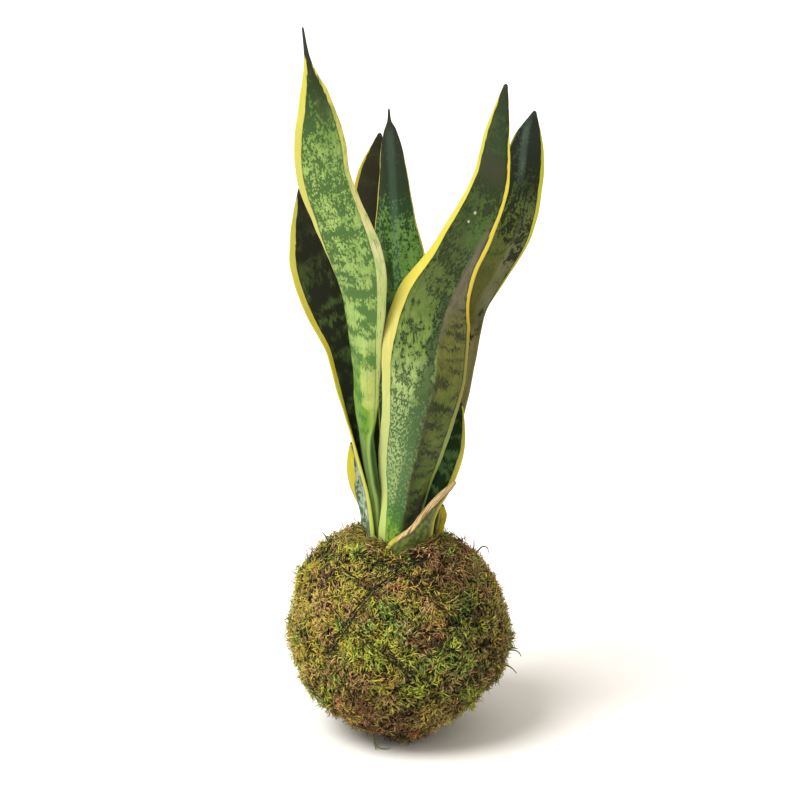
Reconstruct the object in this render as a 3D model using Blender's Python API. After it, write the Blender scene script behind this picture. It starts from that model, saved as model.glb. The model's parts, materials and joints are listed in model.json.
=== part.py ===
"""Kokedama: a snake plant growing from a ball of soil wrapped in moss and bound with thread.

The frame is in metres with +Z up. The origin is the centre of the small flat spot that the
ball rests on, and the plant's best side faces -Y.
"""
from math import cos, exp, hypot, pi, radians, sin

import bmesh
import bpy
from mathutils import Matrix, Vector

MM = 0.001
GAP = 0.3 * MM
WELD_DISTANCE = 0.001 * MM
SHARP_DEGREES = 35

# Ball
BALL_CENTRE = Vector((0, 0, 54 * MM))
MOSS_RADIUS = 56.5 * MM
SOIL_RADIUS = 48 * MM
MOSS_SEGMENTS = 44
MOSS_RINGS = 26
SOIL_SEGMENTS = 28
SOIL_RINGS = 14
MOSS_GREEN = (0.16, 0.19, 0.05)
MOSS_ROUGHNESS = 0.95
SOIL_BROWN = (0.07, 0.045, 0.03)
SOIL_ROUGHNESS = 1.0
# Swellings and dents of the hand-pressed moss: azimuth from +X, elevation, spread in degrees,
# and height in millimetres
MOSS_SWELLINGS = (
    (180, 40, 22, 3.0),
    (180, -25, 20, 1.8),
    (195, -55, 20, -1.6),
    (0, 55, 18, 2.0),
    (0, 18, 18, -1.6),
    (0, -50, 30, -5.4),
    (255, 20, 24, 1.6),
    (300, -28, 22, 1.2),
    (80, 30, 24, 1.8),
    (120, -20, 26, -1.4),
    (45, -5, 22, 1.4),
)

# Opening in the moss that the plant stands in; its cutter runs from the ball's centre out of
# the top
MOUTH_TOP = 162 * MM
MOUTH_CENTRE_Y = -3 * MM
MOUTH_HALF_LENGTH = 28 * MM
MOUTH_HALF_WIDTH = 22.5 * MM
MOUTH_SEGMENTS = 40

# Rhizome: its flat top carries the leaves
SOIL_CLEARANCE = 0.6 * MM
CROWN_HEIGHT = 92 * MM
LEAF_BASE_HEIGHT = CROWN_HEIGHT + GAP
LOBE_DEPTH = 12 * MM
LOBE_CENTRE_HEIGHT = 88 * MM
LOBE_SEGMENTS = 12
LOBE_RINGS = 8
# Centre x, y and the two half widths of each swollen joint of the rhizome, in millimetres
RHIZOME_LOBES = (
    (1, -13, 14, 10),
    (-15, -5, 10, 12),
    (-9, 9, 12, 9),
    (5, 5, 12, 10),
    (15, -3, 10, 12),
)
ROOT_COUNT = 6
ROOT_RADIUS = 2 * MM
ROOT_TIP_SHARE = 0.4
ROOT_REACH = 24 * MM
ROOT_TOP_RADIUS = 9 * MM
ROOT_TOP_HEIGHT = 86 * MM
ROOT_BOTTOM_HEIGHT = 24 * MM
ROOT_POINTS = 6
ROOT_STAGGER = 0.3
ROOT_CURL = 2.2
ROOT_SWAY = 0.35
ROOT_SWAY_PACE = 5
RHIZOME_TAN = (0.62, 0.42, 0.20)
RHIZOME_ROUGHNESS = 0.7
FLAT_CUTTER_SIDE = 200 * MM

# Binding thread
THREAD_RADIUS = 0.4 * MM
THREAD_STANDOFF = 1.2 * MM
HOOP_COUNT = 7
HOOP_TILTS = (46, 55)
HOOP_POINTS = 28
NECK_LOOP_POLAR_ANGLE = 40
NECK_LOOP_TILT = 3
THREAD_BLACK = (0.01, 0.01, 0.01)
THREAD_ROUGHNESS = 0.6

# Leaves
FACE_COLUMNS = 6
EDGE_THICKNESS = 0.9 * MM
THICKNESS_FALL = 0.65
WAVE_SKEW = 0.9
LEAF_ROUGHNESS = 0.4
LEAF_SHARP_DEGREES = 50
GREEN = (0.10, 0.24, 0.06)
DARK_GREEN = (0.035, 0.10, 0.03)
PALE_GREEN = (0.22, 0.34, 0.13)
OLIVE_YELLOW = (0.36, 0.34, 0.05)
DRY_TAN = (0.46, 0.30, 0.15)

# One row is a station on the leaf's middle line: x, y, z and width in millimetres, the way
# that the seen face turns (0 is -Y, 90 is +X) and the bend across it in degrees (positive
# when the seen face bulges).
FRONT_RIGHT_ROWS = (
    (-1, -12, 92, 20, 4, 130),
    (-1, -13, 105, 23, 4, 125),
    (3, -16, 131, 29, 4, 100),
    (6, -21, 152, 36, 3, 75),
    (9, -26, 175, 41, 2, 62),
    (11, -29, 197, 45, 0, 55),
    (12, -31, 218, 45, -6, 50),
    (15, -31, 238, 39, -24, 45),
    (26, -30, 259, 31, -42, 35),
    (37, -30, 279, 26, -42, 25),
    (45, -31, 299, 19, -38, 20),
    (48, -35, 325, 11, -30, 15),
    (51, -38, 348, 2, -20, 10),
)
FRONT_LEFT_ROWS = (
    (-15, -8, 92, 14, -62, 120),
    (-17, -10, 130, 16, -62, 115),
    (-19, -10, 150, 16, -60, 105),
    (-20, -12, 173, 18, -56, 90),
    (-21, -13, 194, 22, -48, 70),
    (-21, -15, 216, 25, -42, 55),
    (-20, -19, 238, 27, -32, 40),
    (-23, -24, 259, 29, -20, 32),
    (-31, -27, 280, 28, -12, 28),
    (-38, -31, 300, 27, -8, 28),
    (-40, -34, 320, 25, -5, 28),
    (-42, -35, 341, 17, -3, 25),
    (-45, -35, 360, 5, 0, 15),
    (-47, -34, 377, 1, 0, 5),
)
LEFT_ROWS = (
    (-20, 1, 92, 12, 50, -110),
    (-20, 1, 127, 16, 50, -100),
    (-21, 4, 148, 18, 48, -85),
    (-22, 5, 168, 19, 42, -70),
    (-25, 7, 189, 22, 38, -60),
    (-29, 9, 209, 26, 32, -55),
    (-38, 12, 230, 31, 26, -45),
    (-44, 15, 251, 30, 20, -35),
    (-49, 17, 269, 17, 14, -25),
    (-52, 18, 288, 2, 10, -10),
)
BACK_LEFT_ROWS = (
    (-9, 13, 92, 13, 20, -110),
    (-10, 16, 134, 19, 18, -90),
    (-10, 20, 175, 25, 15, -70),
    (-11, 27, 218, 28, 12, -55),
    (-12, 31, 253, 28, 10, -45),
    (-14, 34, 279, 25, 10, -40),
    (-13, 36, 296, 18, 10, -35),
    (-11, 37, 314, 2, 10, -10),
)
BACK_CENTRE_ROWS = (
    (-3, 3, 92, 12, -5, 110),
    (-2, 5, 136, 19, -8, 85),
    (-1, 8, 177, 24, -10, 60),
    (-1, 12, 219, 27, -12, 45),
    (-2, 16, 252, 28, -12, 40),
    (-3, 18, 270, 21, -10, 35),
    (-4, 21, 291, 14, -8, 30),
    (-5, 23, 310, 9, -5, 25),
    (-5, 24, 320, 3, 0, 15),
    (-6, 24, 326, 1, 0, 5),
)
RIGHT_ROWS = (
    (12, 8, 92, 13, -20, -110),
    (17, 9, 137, 19, -22, -95),
    (26, 11, 178, 22, -25, -75),
    (31, 12, 210, 22, -25, -60),
    (36, 14, 230, 22, -22, -50),
    (46, 16, 250, 25, -15, -40),
    (56, 19, 268, 26, -10, -35),
    (62, 23, 290, 23, -5, -30),
    (65, 26, 310, 15, 0, -25),
    (68, 27, 325, 2, 0, -10),
)
SHORT_RIGHT_ROWS = (
    (12, -3, 92, 12, -30, -90),
    (13, -3, 119, 14, -28, -80),
    (21, -3, 140, 18, -26, -60),
    (26, -3, 156, 17, -24, -50),
    (29, -3, 168, 10, -22, -35),
    (31, -3, 179, 2, -22, -15),
)
SHORT_LEFT_ROWS = (
    (-17, 8, 92, 6, -60, 60),
    (-19, 8, 108, 8, -58, 65),
    (-25, 11, 133, 13, -48, 60),
    (-27, 12, 146, 8, -42, 35),
    (-27, 12, 153, 2, -40, 15),
)
STUB_ROWS = (
    (19, 8, 92, 6, -5, 90),
    (19.5, 8, 107, 6.5, -5, 80),
    (21, 8, 116, 7, -5, 60),
    (22, 8, 121, 2, -5, 30),
)
BRACT_ROWS = (
    (0, -20, 92, 16, 4, 60),
    (2, -21, 103, 21, 8, 70),
    (9, -20, 114, 17, 16, 90),
    (16, -18, 123, 11, 22, 120),
    (22, -16, 132, 7, 24, 130),
    (28, -14, 140, 2, 24, 60),
)
# Name, rows, stations along the leaf, thickness at the base and the tip, height of the
# margin's waves in millimetres, their count and phase, and the colour
LEAVES = (
    ("leaf_front_right", FRONT_RIGHT_ROWS, 26, 4.0, 1.1, 0.8, 3.5, 0.4, PALE_GREEN),
    ("leaf_front_left", FRONT_LEFT_ROWS, 28, 3.6, 1.0, 0.8, 4.0, 1.5, GREEN),
    ("leaf_left", LEFT_ROWS, 22, 3.4, 1.0, 0.8, 3.0, 2.6, DARK_GREEN),
    ("leaf_back_left", BACK_LEFT_ROWS, 20, 3.2, 1.0, 0.6, 3.0, 0.9, DARK_GREEN),
    ("leaf_back_centre", BACK_CENTRE_ROWS, 22, 3.4, 1.0, 0.6, 3.0, 3.0, DARK_GREEN),
    ("leaf_right", RIGHT_ROWS, 24, 3.4, 1.0, 0.9, 3.5, 2.0, DARK_GREEN),
    ("leaf_short_right", SHORT_RIGHT_ROWS, 12, 2.8, 1.0, 0.5, 2.0, 1.0, DARK_GREEN),
    ("leaf_short_left", SHORT_LEFT_ROWS, 10, 2.4, 1.0, 0.3, 1.5, 0.0, GREEN),
    ("leaf_stub", STUB_ROWS, 8, 2.0, 1.0, 0.0, 1.0, 0.0, OLIVE_YELLOW),
    ("dry_bract", BRACT_ROWS, 12, 1.6, 0.9, 0.5, 2.0, 0.6, DRY_TAN),
)


def clear_scene():
    for item in list(bpy.data.objects):
        bpy.data.objects.remove(item, do_unlink=True)


def new_collection(name):
    collection = bpy.data.collections.new(name)
    bpy.context.scene.collection.children.link(collection)
    return collection


def make_material(name, colour, roughness):
    material = bpy.data.materials.new(name)
    material.use_nodes = True
    shader = material.node_tree.nodes["Principled BSDF"]
    shader.inputs["Base Color"].default_value = (*colour, 1)
    shader.inputs["Roughness"].default_value = roughness
    shader.inputs["Metallic"].default_value = 0.0
    return material


def object_from_bmesh(name, bm, collection):
    mesh = bpy.data.meshes.new(name)
    bmesh.ops.recalc_face_normals(bm, faces=bm.faces)
    bm.to_mesh(mesh)
    bm.free()
    item = bpy.data.objects.new(name, mesh)
    collection.objects.link(item)
    return item


def finish_piece(item, colour, roughness, sharp_degrees=SHARP_DEGREES):
    item.data.materials.clear()
    item.data.materials.append(make_material(item.name, colour, roughness))
    item.data.shade_smooth()
    item.data.set_sharp_from_angle(angle=radians(sharp_degrees))


def hide_cutter(item):
    item.hide_render = True
    item.display_type = "WIRE"


def evaluated_copy(item, name, collection):
    """A mesh object of what the item's curve or modifiers make, in place of the item."""
    bpy.context.view_layer.update()
    depsgraph = bpy.context.evaluated_depsgraph_get()
    mesh = bpy.data.meshes.new_from_object(item.evaluated_get(depsgraph))
    copy = bpy.data.objects.new(name, mesh)
    copy.matrix_world = item.matrix_world
    collection.objects.link(copy)
    bpy.data.objects.remove(item, do_unlink=True)
    bm = bmesh.new()
    bm.from_mesh(mesh)
    bmesh.ops.remove_doubles(bm, verts=bm.verts, dist=WELD_DISTANCE)
    bm.to_mesh(mesh)
    bm.free()
    return copy


def unite(name, items, collection):
    """One body from overlapping ones."""
    others = new_collection(name + "_repeats")
    first = items[0]
    for item in items[1:]:
        collection.objects.unlink(item)
        others.objects.link(item)
    union = first.modifiers.new("Union", "BOOLEAN")
    union.operation = "UNION"
    union.operand_type = "COLLECTION"
    union.collection = others
    whole = evaluated_copy(first, name, collection)
    for item in items[1:]:
        bpy.data.objects.remove(item, do_unlink=True)
    bpy.data.collections.remove(others)
    return whole


def cut(item, cutter):
    difference = item.modifiers.new("Cut " + cutter.name, "BOOLEAN")
    difference.operation = "DIFFERENCE"
    difference.object = cutter


def moss_radius(direction):
    """Distance from the ball's centre to the pressed moss in one direction."""
    radius = MOSS_RADIUS
    for azimuth, elevation, spread, height in MOSS_SWELLINGS:
        axis = Vector((
            cos(radians(elevation)) * cos(radians(azimuth)),
            cos(radians(elevation)) * sin(radians(azimuth)),
            sin(radians(elevation)),
        ))
        away = direction.angle(axis) / radians(spread)
        radius += height * MM * exp(-away * away)
    return radius


def ball_object(name, segments, rings, radius_of, collection):
    bm = bmesh.new()
    bmesh.ops.create_uvsphere(bm, u_segments=segments, v_segments=rings, radius=1)
    for vertex in bm.verts:
        direction = vertex.co.normalized()
        vertex.co = BALL_CENTRE + direction * radius_of(direction)
    return object_from_bmesh(name, bm, collection)


def elliptic_cutter(name, bottom, top, collection):
    bm = bmesh.new()
    bmesh.ops.create_cone(
        bm, cap_ends=True, segments=MOUTH_SEGMENTS, radius1=1, radius2=1, depth=top - bottom)
    stretch = Matrix.Diagonal((MOUTH_HALF_LENGTH, MOUTH_HALF_WIDTH, 1))
    middle = Vector((0, MOUTH_CENTRE_Y, (top + bottom) / 2))
    for vertex in bm.verts:
        vertex.co = stretch @ vertex.co + middle
    cutter = object_from_bmesh(name, bm, collection)
    hide_cutter(cutter)
    return cutter


def flat_cutter(name, bottom, collection):
    """A block over everything above one height."""
    bm = bmesh.new()
    bmesh.ops.create_cube(bm, size=FLAT_CUTTER_SIDE)
    for vertex in bm.verts:
        vertex.co.z += bottom + FLAT_CUTTER_SIDE / 2
    cutter = object_from_bmesh(name, bm, collection)
    hide_cutter(cutter)
    return cutter


def make_moss_wrap(parts, cutters):
    """Sheet moss around the soil, pressed flat where the ball rests."""
    moss = ball_object("moss_wrap", MOSS_SEGMENTS, MOSS_RINGS, moss_radius, parts)
    for vertex in moss.data.vertices:
        vertex.co.z = max(vertex.co.z, 0)
    cavity = ball_object(
        "moss_cavity", SOIL_SEGMENTS, SOIL_RINGS, lambda direction: SOIL_RADIUS + GAP, cutters)
    hide_cutter(cavity)
    cut(moss, cavity)
    cut(moss, elliptic_cutter("moss_mouth", BALL_CENTRE.z, MOUTH_TOP, cutters))
    finish_piece(moss, MOSS_GREEN, MOSS_ROUGHNESS)


def rhizome_pieces(clearance, collection):
    """Swollen joints and roots, grown on every side by a clearance."""
    pieces = []
    for x, y, half_length, half_width in RHIZOME_LOBES:
        bm = bmesh.new()
        bmesh.ops.create_uvsphere(
            bm, u_segments=LOBE_SEGMENTS, v_segments=LOBE_RINGS, radius=1)
        size = Matrix.Diagonal((
            half_length * MM + clearance, half_width * MM + clearance, LOBE_DEPTH + clearance))
        for vertex in bm.verts:
            vertex.co = size @ vertex.co + Vector((x * MM, y * MM, LOBE_CENTRE_HEIGHT))
        pieces.append(object_from_bmesh("lobe", bm, collection))
    for index in range(ROOT_COUNT):
        pieces.append(root_object(index, clearance, collection))
    return pieces


def root_object(index, clearance, collection):
    """A tapering root that runs down and outward through the soil."""
    azimuth = 2 * pi * (index + ROOT_STAGGER * (index % 2)) / ROOT_COUNT
    curve = bpy.data.curves.new("root", "CURVE")
    curve.dimensions = "3D"
    curve.bevel_depth = 1
    curve.bevel_resolution = 1
    curve.use_fill_caps = True
    spline = curve.splines.new("POLY")
    spline.points.add(ROOT_POINTS - 1)
    for step in range(ROOT_POINTS):
        along = step / (ROOT_POINTS - 1)
        reach = ROOT_TOP_RADIUS + ROOT_REACH * sin(along * ROOT_CURL)
        turn = azimuth + ROOT_SWAY * sin(along * ROOT_SWAY_PACE + index)
        height = ROOT_TOP_HEIGHT + (ROOT_BOTTOM_HEIGHT - ROOT_TOP_HEIGHT) * along
        thickness = ROOT_RADIUS * (1 - (1 - ROOT_TIP_SHARE) * along) + clearance
        if along == 1:
            height -= clearance
        spline.points[step].co = (reach * cos(turn), reach * sin(turn), height, 1)
        spline.points[step].radius = thickness
    item = bpy.data.objects.new("root", curve)
    collection.objects.link(item)
    return evaluated_copy(item, "root", collection)


def make_rhizome(parts, cutters):
    """The creeping stem that the leaves stand on, with its roots."""
    rhizome = unite("rhizome", rhizome_pieces(0, parts), parts)
    cut(rhizome, flat_cutter("crown_level", CROWN_HEIGHT, cutters))
    finish_piece(rhizome, RHIZOME_TAN, RHIZOME_ROUGHNESS)


def make_soil_ball(parts, cutters):
    """The ball of clay soil, flat on top round the crown and hollow where the roots run."""
    soil = ball_object(
        "soil_ball", SOIL_SEGMENTS, SOIL_RINGS, lambda direction: SOIL_RADIUS, parts)
    hole = unite("rhizome_hole", rhizome_pieces(SOIL_CLEARANCE, cutters), cutters)
    hide_cutter(hole)
    cut(soil, hole)
    cut(soil, flat_cutter("soil_level", CROWN_HEIGHT, cutters))
    finish_piece(soil, SOIL_BROWN, SOIL_ROUGHNESS)


def thread_loop(name, axis, polar_angle, collection):
    """A loop of thread laid on the moss round one axis, at one angle from it."""
    side = axis.orthogonal().normalized()
    other = axis.cross(side)
    curve = bpy.data.curves.new(name, "CURVE")
    curve.dimensions = "3D"
    curve.bevel_depth = THREAD_RADIUS
    curve.bevel_resolution = 0
    spline = curve.splines.new("POLY")
    spline.points.add(HOOP_POINTS - 1)
    spline.use_cyclic_u = True
    for step in range(HOOP_POINTS):
        turn = 2 * pi * step / HOOP_POINTS
        direction = sin(polar_angle) * (cos(turn) * side + sin(turn) * other)
        direction += cos(polar_angle) * axis
        place = BALL_CENTRE + direction * (moss_radius(direction) + THREAD_STANDOFF)
        spline.points[step].co = (*place, 1)
    item = bpy.data.objects.new(name, curve)
    collection.objects.link(item)
    return evaluated_copy(item, name, collection)


def make_binding_thread(parts):
    """Thread wound round the ball in tilted hoops and once round the neck."""
    loops = []
    for index in range(HOOP_COUNT):
        azimuth = 2 * pi * index / HOOP_COUNT
        tilt = radians(HOOP_TILTS[index % len(HOOP_TILTS)])
        axis = Vector((sin(tilt) * cos(azimuth), sin(tilt) * sin(azimuth), cos(tilt)))
        loops.append(thread_loop("hoop", axis, pi / 2, parts))
    lean = radians(NECK_LOOP_TILT)
    neck_axis = Vector((0, -sin(lean), cos(lean)))
    loops.append(thread_loop("neck_loop", neck_axis, radians(NECK_LOOP_POLAR_ANGLE), parts))
    thread = unite("binding_thread", loops, parts)
    finish_piece(thread, THREAD_BLACK, THREAD_ROUGHNESS)


def smooth_rows(rows, count):
    """Stations at even steps along a smooth curve through the rows."""
    marks = [0.0]
    for first, second in zip(rows, rows[1:]):
        step = hypot(*(b - a for a, b in zip(first[:3], second[:3])))
        marks.append(marks[-1] + step)
    slopes = []
    for index in range(len(rows)):
        low = max(index - 1, 0)
        high = min(index + 1, len(rows) - 1)
        reach = marks[high] - marks[low]
        slopes.append([(b - a) / reach for a, b in zip(rows[low], rows[high])])
    stations = []
    span = 0
    for step in range(count):
        mark = marks[-1] * step / (count - 1)
        while span < len(rows) - 2 and mark > marks[span + 1]:
            span += 1
        length = marks[span + 1] - marks[span]
        t = (mark - marks[span]) / length
        weights = (2 * t**3 - 3 * t**2 + 1, t**3 - 2 * t**2 + t, 3 * t**2 - 2 * t**3, t**3 - t**2)
        stations.append([
            weights[0] * a + weights[1] * length * slope_a
            + weights[2] * b + weights[3] * length * slope_b
            for a, slope_a, b, slope_b in zip(
                rows[span], slopes[span], rows[span + 1], slopes[span + 1])
        ])
    return stations


def leaf_section(station, tangent, thickness, wave, phase):
    """Points across both faces of the leaf at one station."""
    x, y, z, width, facing, bend = station
    facing = radians(facing)
    bend = radians(bend)
    outward = Vector((sin(facing), -cos(facing), 0))
    across = tangent.cross(outward).normalized()
    outward = across.cross(tangent)
    radius = width * MM / bend
    seen = []
    hidden = []
    for column in range(FACE_COLUMNS + 1):
        v = 2 * column / FACE_COLUMNS - 1
        angle = v * bend / 2
        place = Vector((x, y, z)) * MM
        place += across * radius * sin(angle) - outward * radius * (1 - cos(angle))
        place += outward * wave * MM * abs(v) ** 3 * sin(phase + WAVE_SKEW * v)
        normal = outward * cos(angle) + across * sin(angle)
        half = max(thickness * (1 - THICKNESS_FALL * v * v), EDGE_THICKNESS) / 2
        seen.append(place + normal * half)
        hidden.append(place - normal * half)
    return seen, hidden


def make_leaf(name, rows, count, base_thickness, tip_thickness, wave, waves, phase, colour,
              parts):
    """A blade lofted through its stations, with both faces split into the same triangles."""
    stations = smooth_rows(rows, count)
    bm = bmesh.new()
    rings = []
    for index, station in enumerate(stations):
        before = Vector(stations[max(index - 1, 0)][:3])
        after = Vector(stations[min(index + 1, count - 1)][:3])
        along = index / (count - 1)
        thickness = (base_thickness + (tip_thickness - base_thickness) * along) * MM
        swell = wave * sin(pi * along)
        sections = leaf_section(
            station, (after - before).normalized(), thickness, swell,
            phase + 2 * pi * waves * along)
        if index == 0:
            for point in sections[0] + sections[1]:
                point.z = LEAF_BASE_HEIGHT
        rings.append([[bm.verts.new(point) for point in side] for side in sections])
    for lower, upper in zip(rings, rings[1:]):
        for side in range(2):
            for column in range(FACE_COLUMNS):
                a, b = lower[side][column], lower[side][column + 1]
                c, d = upper[side][column + 1], upper[side][column]
                bm.faces.new((a, b, c))
                bm.faces.new((a, c, d))
        for edge in (0, FACE_COLUMNS):
            bm.faces.new((lower[0][edge], lower[1][edge], upper[1][edge], upper[0][edge]))
    for ring in (rings[0], rings[-1]):
        for column in range(FACE_COLUMNS):
            bm.faces.new((
                ring[0][column], ring[0][column + 1], ring[1][column + 1], ring[1][column]))
    leaf = object_from_bmesh(name, bm, parts)
    finish_piece(leaf, colour, LEAF_ROUGHNESS, LEAF_SHARP_DEGREES)


def main():
    clear_scene()
    parts = new_collection("kokedama")
    cutters = new_collection("cutters")
    make_moss_wrap(parts, cutters)
    make_soil_ball(parts, cutters)
    make_rhizome(parts, cutters)
    make_binding_thread(parts)
    for leaf in LEAVES:
        make_leaf(*leaf, parts)


main()
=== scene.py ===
# %% [markdown]
# # A snake plant in a moss ball
# A kokedama is a ball of moist soil wrapped in sheet moss and bound with thread, with a plant
# growing from its top. The CAD solids already have its size and its main forms. This script
# loads them as a fixed frame and lays a finer model over them: lofted leaves with painted
# bands, many thousands of moss shoots, and the wound thread.

# %% Load the frame
import json
from math import cos, pi, radians, sin, sqrt

import bpy
import numpy as np
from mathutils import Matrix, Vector, noise
from mathutils.bvhtree import BVHTree

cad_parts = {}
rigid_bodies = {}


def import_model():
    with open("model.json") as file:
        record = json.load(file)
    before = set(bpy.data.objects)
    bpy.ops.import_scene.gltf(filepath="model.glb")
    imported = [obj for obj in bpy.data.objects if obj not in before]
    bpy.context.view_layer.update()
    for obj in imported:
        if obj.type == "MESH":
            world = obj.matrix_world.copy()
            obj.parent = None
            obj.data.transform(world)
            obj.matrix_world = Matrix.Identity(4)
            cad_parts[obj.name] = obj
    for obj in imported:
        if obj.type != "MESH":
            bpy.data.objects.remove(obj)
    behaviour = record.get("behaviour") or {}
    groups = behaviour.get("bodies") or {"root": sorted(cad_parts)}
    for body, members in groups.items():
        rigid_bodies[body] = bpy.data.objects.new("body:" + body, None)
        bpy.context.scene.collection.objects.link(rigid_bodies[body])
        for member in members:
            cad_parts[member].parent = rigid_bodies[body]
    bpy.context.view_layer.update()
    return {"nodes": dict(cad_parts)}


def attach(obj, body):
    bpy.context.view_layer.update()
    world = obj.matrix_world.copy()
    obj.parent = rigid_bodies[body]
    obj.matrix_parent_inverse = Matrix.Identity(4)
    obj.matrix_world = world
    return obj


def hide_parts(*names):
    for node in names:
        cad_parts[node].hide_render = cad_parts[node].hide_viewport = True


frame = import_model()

MM = 0.001

# %% [markdown]
# ## Camera
# The picture was taken from the front and a little above, from about a metre away. A long
# lens keeps the plant from widening toward the top. The camera aims at the middle of the
# plant and looks down at it by fourteen degrees.

# %% Camera
CAMERA_ELEVATION = radians(14)
CAMERA_DISTANCE = 1.1
CAMERA_TARGET = Vector((-0.5 * MM, 0, 180.4 * MM))
CAMERA_LENS = 95.4

camera_data = bpy.data.cameras.new("camera")
camera_data.lens = CAMERA_LENS
camera_data.sensor_width = 36
camera = bpy.data.objects.new("camera", camera_data)
camera.location = CAMERA_TARGET + CAMERA_DISTANCE * Vector(
    (0, -cos(CAMERA_ELEVATION), sin(CAMERA_ELEVATION)))
camera.rotation_euler = (pi / 2 - CAMERA_ELEVATION, 0, 0)
bpy.context.scene.collection.objects.link(camera)
bpy.context.scene.camera = camera
print("camera at", [round(v, 3) for v in camera.location])

# %% [markdown]
# ## Shader maths
# A finish is a small sum over the surface: how far into the margin, how dark the band, how
# worn the edge. Wiring such sums by hand is slow and hard to read, so one small class wraps
# a socket and turns Python's operators into Math nodes. Colours go through Mix nodes,
# because a Math node would turn them grey.

# %% A socket that can be used in a sum
class Wire:
    def __init__(self, paint, socket):
        self.paint = paint
        self.socket = socket

    def maths(self, operation, first, second):
        return self.paint.node("Math", {"operation": operation}, {0: first, 1: second})

    def __add__(self, other):
        return self.maths("ADD", self, other)

    def __radd__(self, other):
        return self.maths("ADD", other, self)

    def __sub__(self, other):
        return self.maths("SUBTRACT", self, other)

    def __rsub__(self, other):
        return self.maths("SUBTRACT", other, self)

    def __mul__(self, other):
        return self.maths("MULTIPLY", self, other)

    def __rmul__(self, other):
        return self.maths("MULTIPLY", other, self)


# %% A material and the nodes that its finish is made of
class Paint:
    def __init__(self, name, roughness=0.5):
        self.material = bpy.data.materials.new(name)
        self.material.use_nodes = True
        self.tree = self.material.node_tree
        self.shader = self.tree.nodes["Principled BSDF"]
        self.shader.inputs["Roughness"].default_value = roughness

    def plug(self, socket, value):
        if isinstance(value, Wire):
            self.tree.links.new(value.socket, socket)
        elif socket.type == "RGBA" and len(value) == 3:
            socket.default_value = (*value, 1)
        else:
            socket.default_value = value

    def node(self, kind, settings, inputs, output=0):
        """Adds a node, sets it up, fills its sockets and returns one of its outputs."""
        made = self.tree.nodes.new("ShaderNode" + kind)
        for setting, value in settings.items():
            if setting == "stops":
                elements = made.color_ramp.elements
                elements.remove(elements[1])
                for index, (place, colour) in enumerate(value):
                    stop = elements[0] if index == 0 else elements.new(place)
                    stop.position = place
                    stop.color = (*colour, 1)
            else:
                setattr(made, setting, value)
        for socket, value in inputs.items():
            self.plug(made.inputs[socket], value)
        return Wire(self, made.outputs[output])

    def attribute(self, name, output="Fac"):
        return self.node("Attribute", {"attribute_name": name}, {}, output)

    def place(self):
        """The point on the surface, in metres."""
        return self.node("TexCoord", {}, {}, "Object")

    def point(self, x, y, z):
        return self.node("CombineXYZ", {}, {0: x, 1: y, 2: z})

    def noise(self, vector, scale=1, detail=2, roughness=0.5, distortion=0):
        return self.node("TexNoise", {}, {
            "Vector": vector, "Scale": scale, "Detail": detail, "Roughness": roughness,
            "Distortion": distortion})

    def step(self, value, low, high):
        """0 below low, 1 above high, smooth between."""
        return self.node(
            "MapRange", {"interpolation_type": "SMOOTHSTEP"},
            {"Value": value, "From Min": low, "From Max": high})

    def ramp(self, value, stops):
        return self.node("ValToRGB", {"stops": stops}, {0: value}, "Color")

    def level(self, value, stops):
        """A number that changes along a value, given as (place, number) pairs."""
        stops = [(place, (number, number, number)) for place, number in stops]
        colour = self.ramp(value, stops)
        return self.node("RGBToBW", {}, {0: colour})

    def mix(self, mask, first, second, blend="MIX"):
        return self.node(
            "Mix", {"data_type": "RGBA", "blend_type": blend}, {0: mask, 6: first, 7: second}, 2)

    def set(self, **inputs):
        for name, value in inputs.items():
            self.plug(self.shader.inputs[name.replace("_", " ")], value)

    def bump(self, height, distance, strength=1.0):
        """Raises the surface by a height in metres times distance."""
        normal = self.node("Bump", {}, {
            "Strength": strength, "Distance": distance, "Height": height}, "Normal")
        self.plug(self.shader.inputs["Normal"], normal)


# The light on a face turned to the window, where 1 would show white paper as just white
LIGHT_LEVEL = 1.2


def tone(red, green, blue):
    """The base colour that looks like this in the picture, given from 0 to 255."""
    shares = [channel / 255 for channel in (red, green, blue)]
    linear = [s / 12.92 if s <= 0.04045 else ((s + 0.055) / 1.055) ** 2.4 for s in shares]
    return tuple(share / LIGHT_LEVEL for share in linear)


# %% [markdown]
# ## Floor and light
# The plant stands on a white surface that runs out of the picture on every side. Daylight
# comes from a large window at the upper left, so the shadow falls softly to the right and
# back. A sun lamp with a wide angle gives that softness at every distance. The sky stands
# for the walls of the room: a little warm, so that the shadow is a warm grey.

# %% Floor
FLOOR_HALF_SIDE = 20

floor_mesh = bpy.data.meshes.new("floor")
floor_mesh.from_pydata(
    [(x * FLOOR_HALF_SIDE, y * FLOOR_HALF_SIDE, 0) for x, y in ((-1, -1), (1, -1), (1, 1), (-1, 1))],
    [], [(0, 1, 2, 3)])
floor = bpy.data.objects.new("floor", floor_mesh)
bpy.context.scene.collection.objects.link(floor)
floor_paint = Paint("floor_finish", roughness=0.9)
floor_paint.set(Base_Color=floor_paint.mix(
    floor_paint.noise(floor_paint.place(), scale=3), (0.90, 0.895, 0.885), (0.92, 0.915, 0.905)))
floor_mesh.materials.append(floor_paint.material)

# %% Light
SKY_STRENGTH = 0.78
SKY_COLOUR = (1.0, 0.93, 0.84, 1)
SUN_STRENGTH = 3.3
SUN_ANGLE = radians(34)
SUN_COLOUR = (1.0, 0.99, 0.96)
TO_THE_SUN = Vector((-0.50, -0.34, 0.80))

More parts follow.
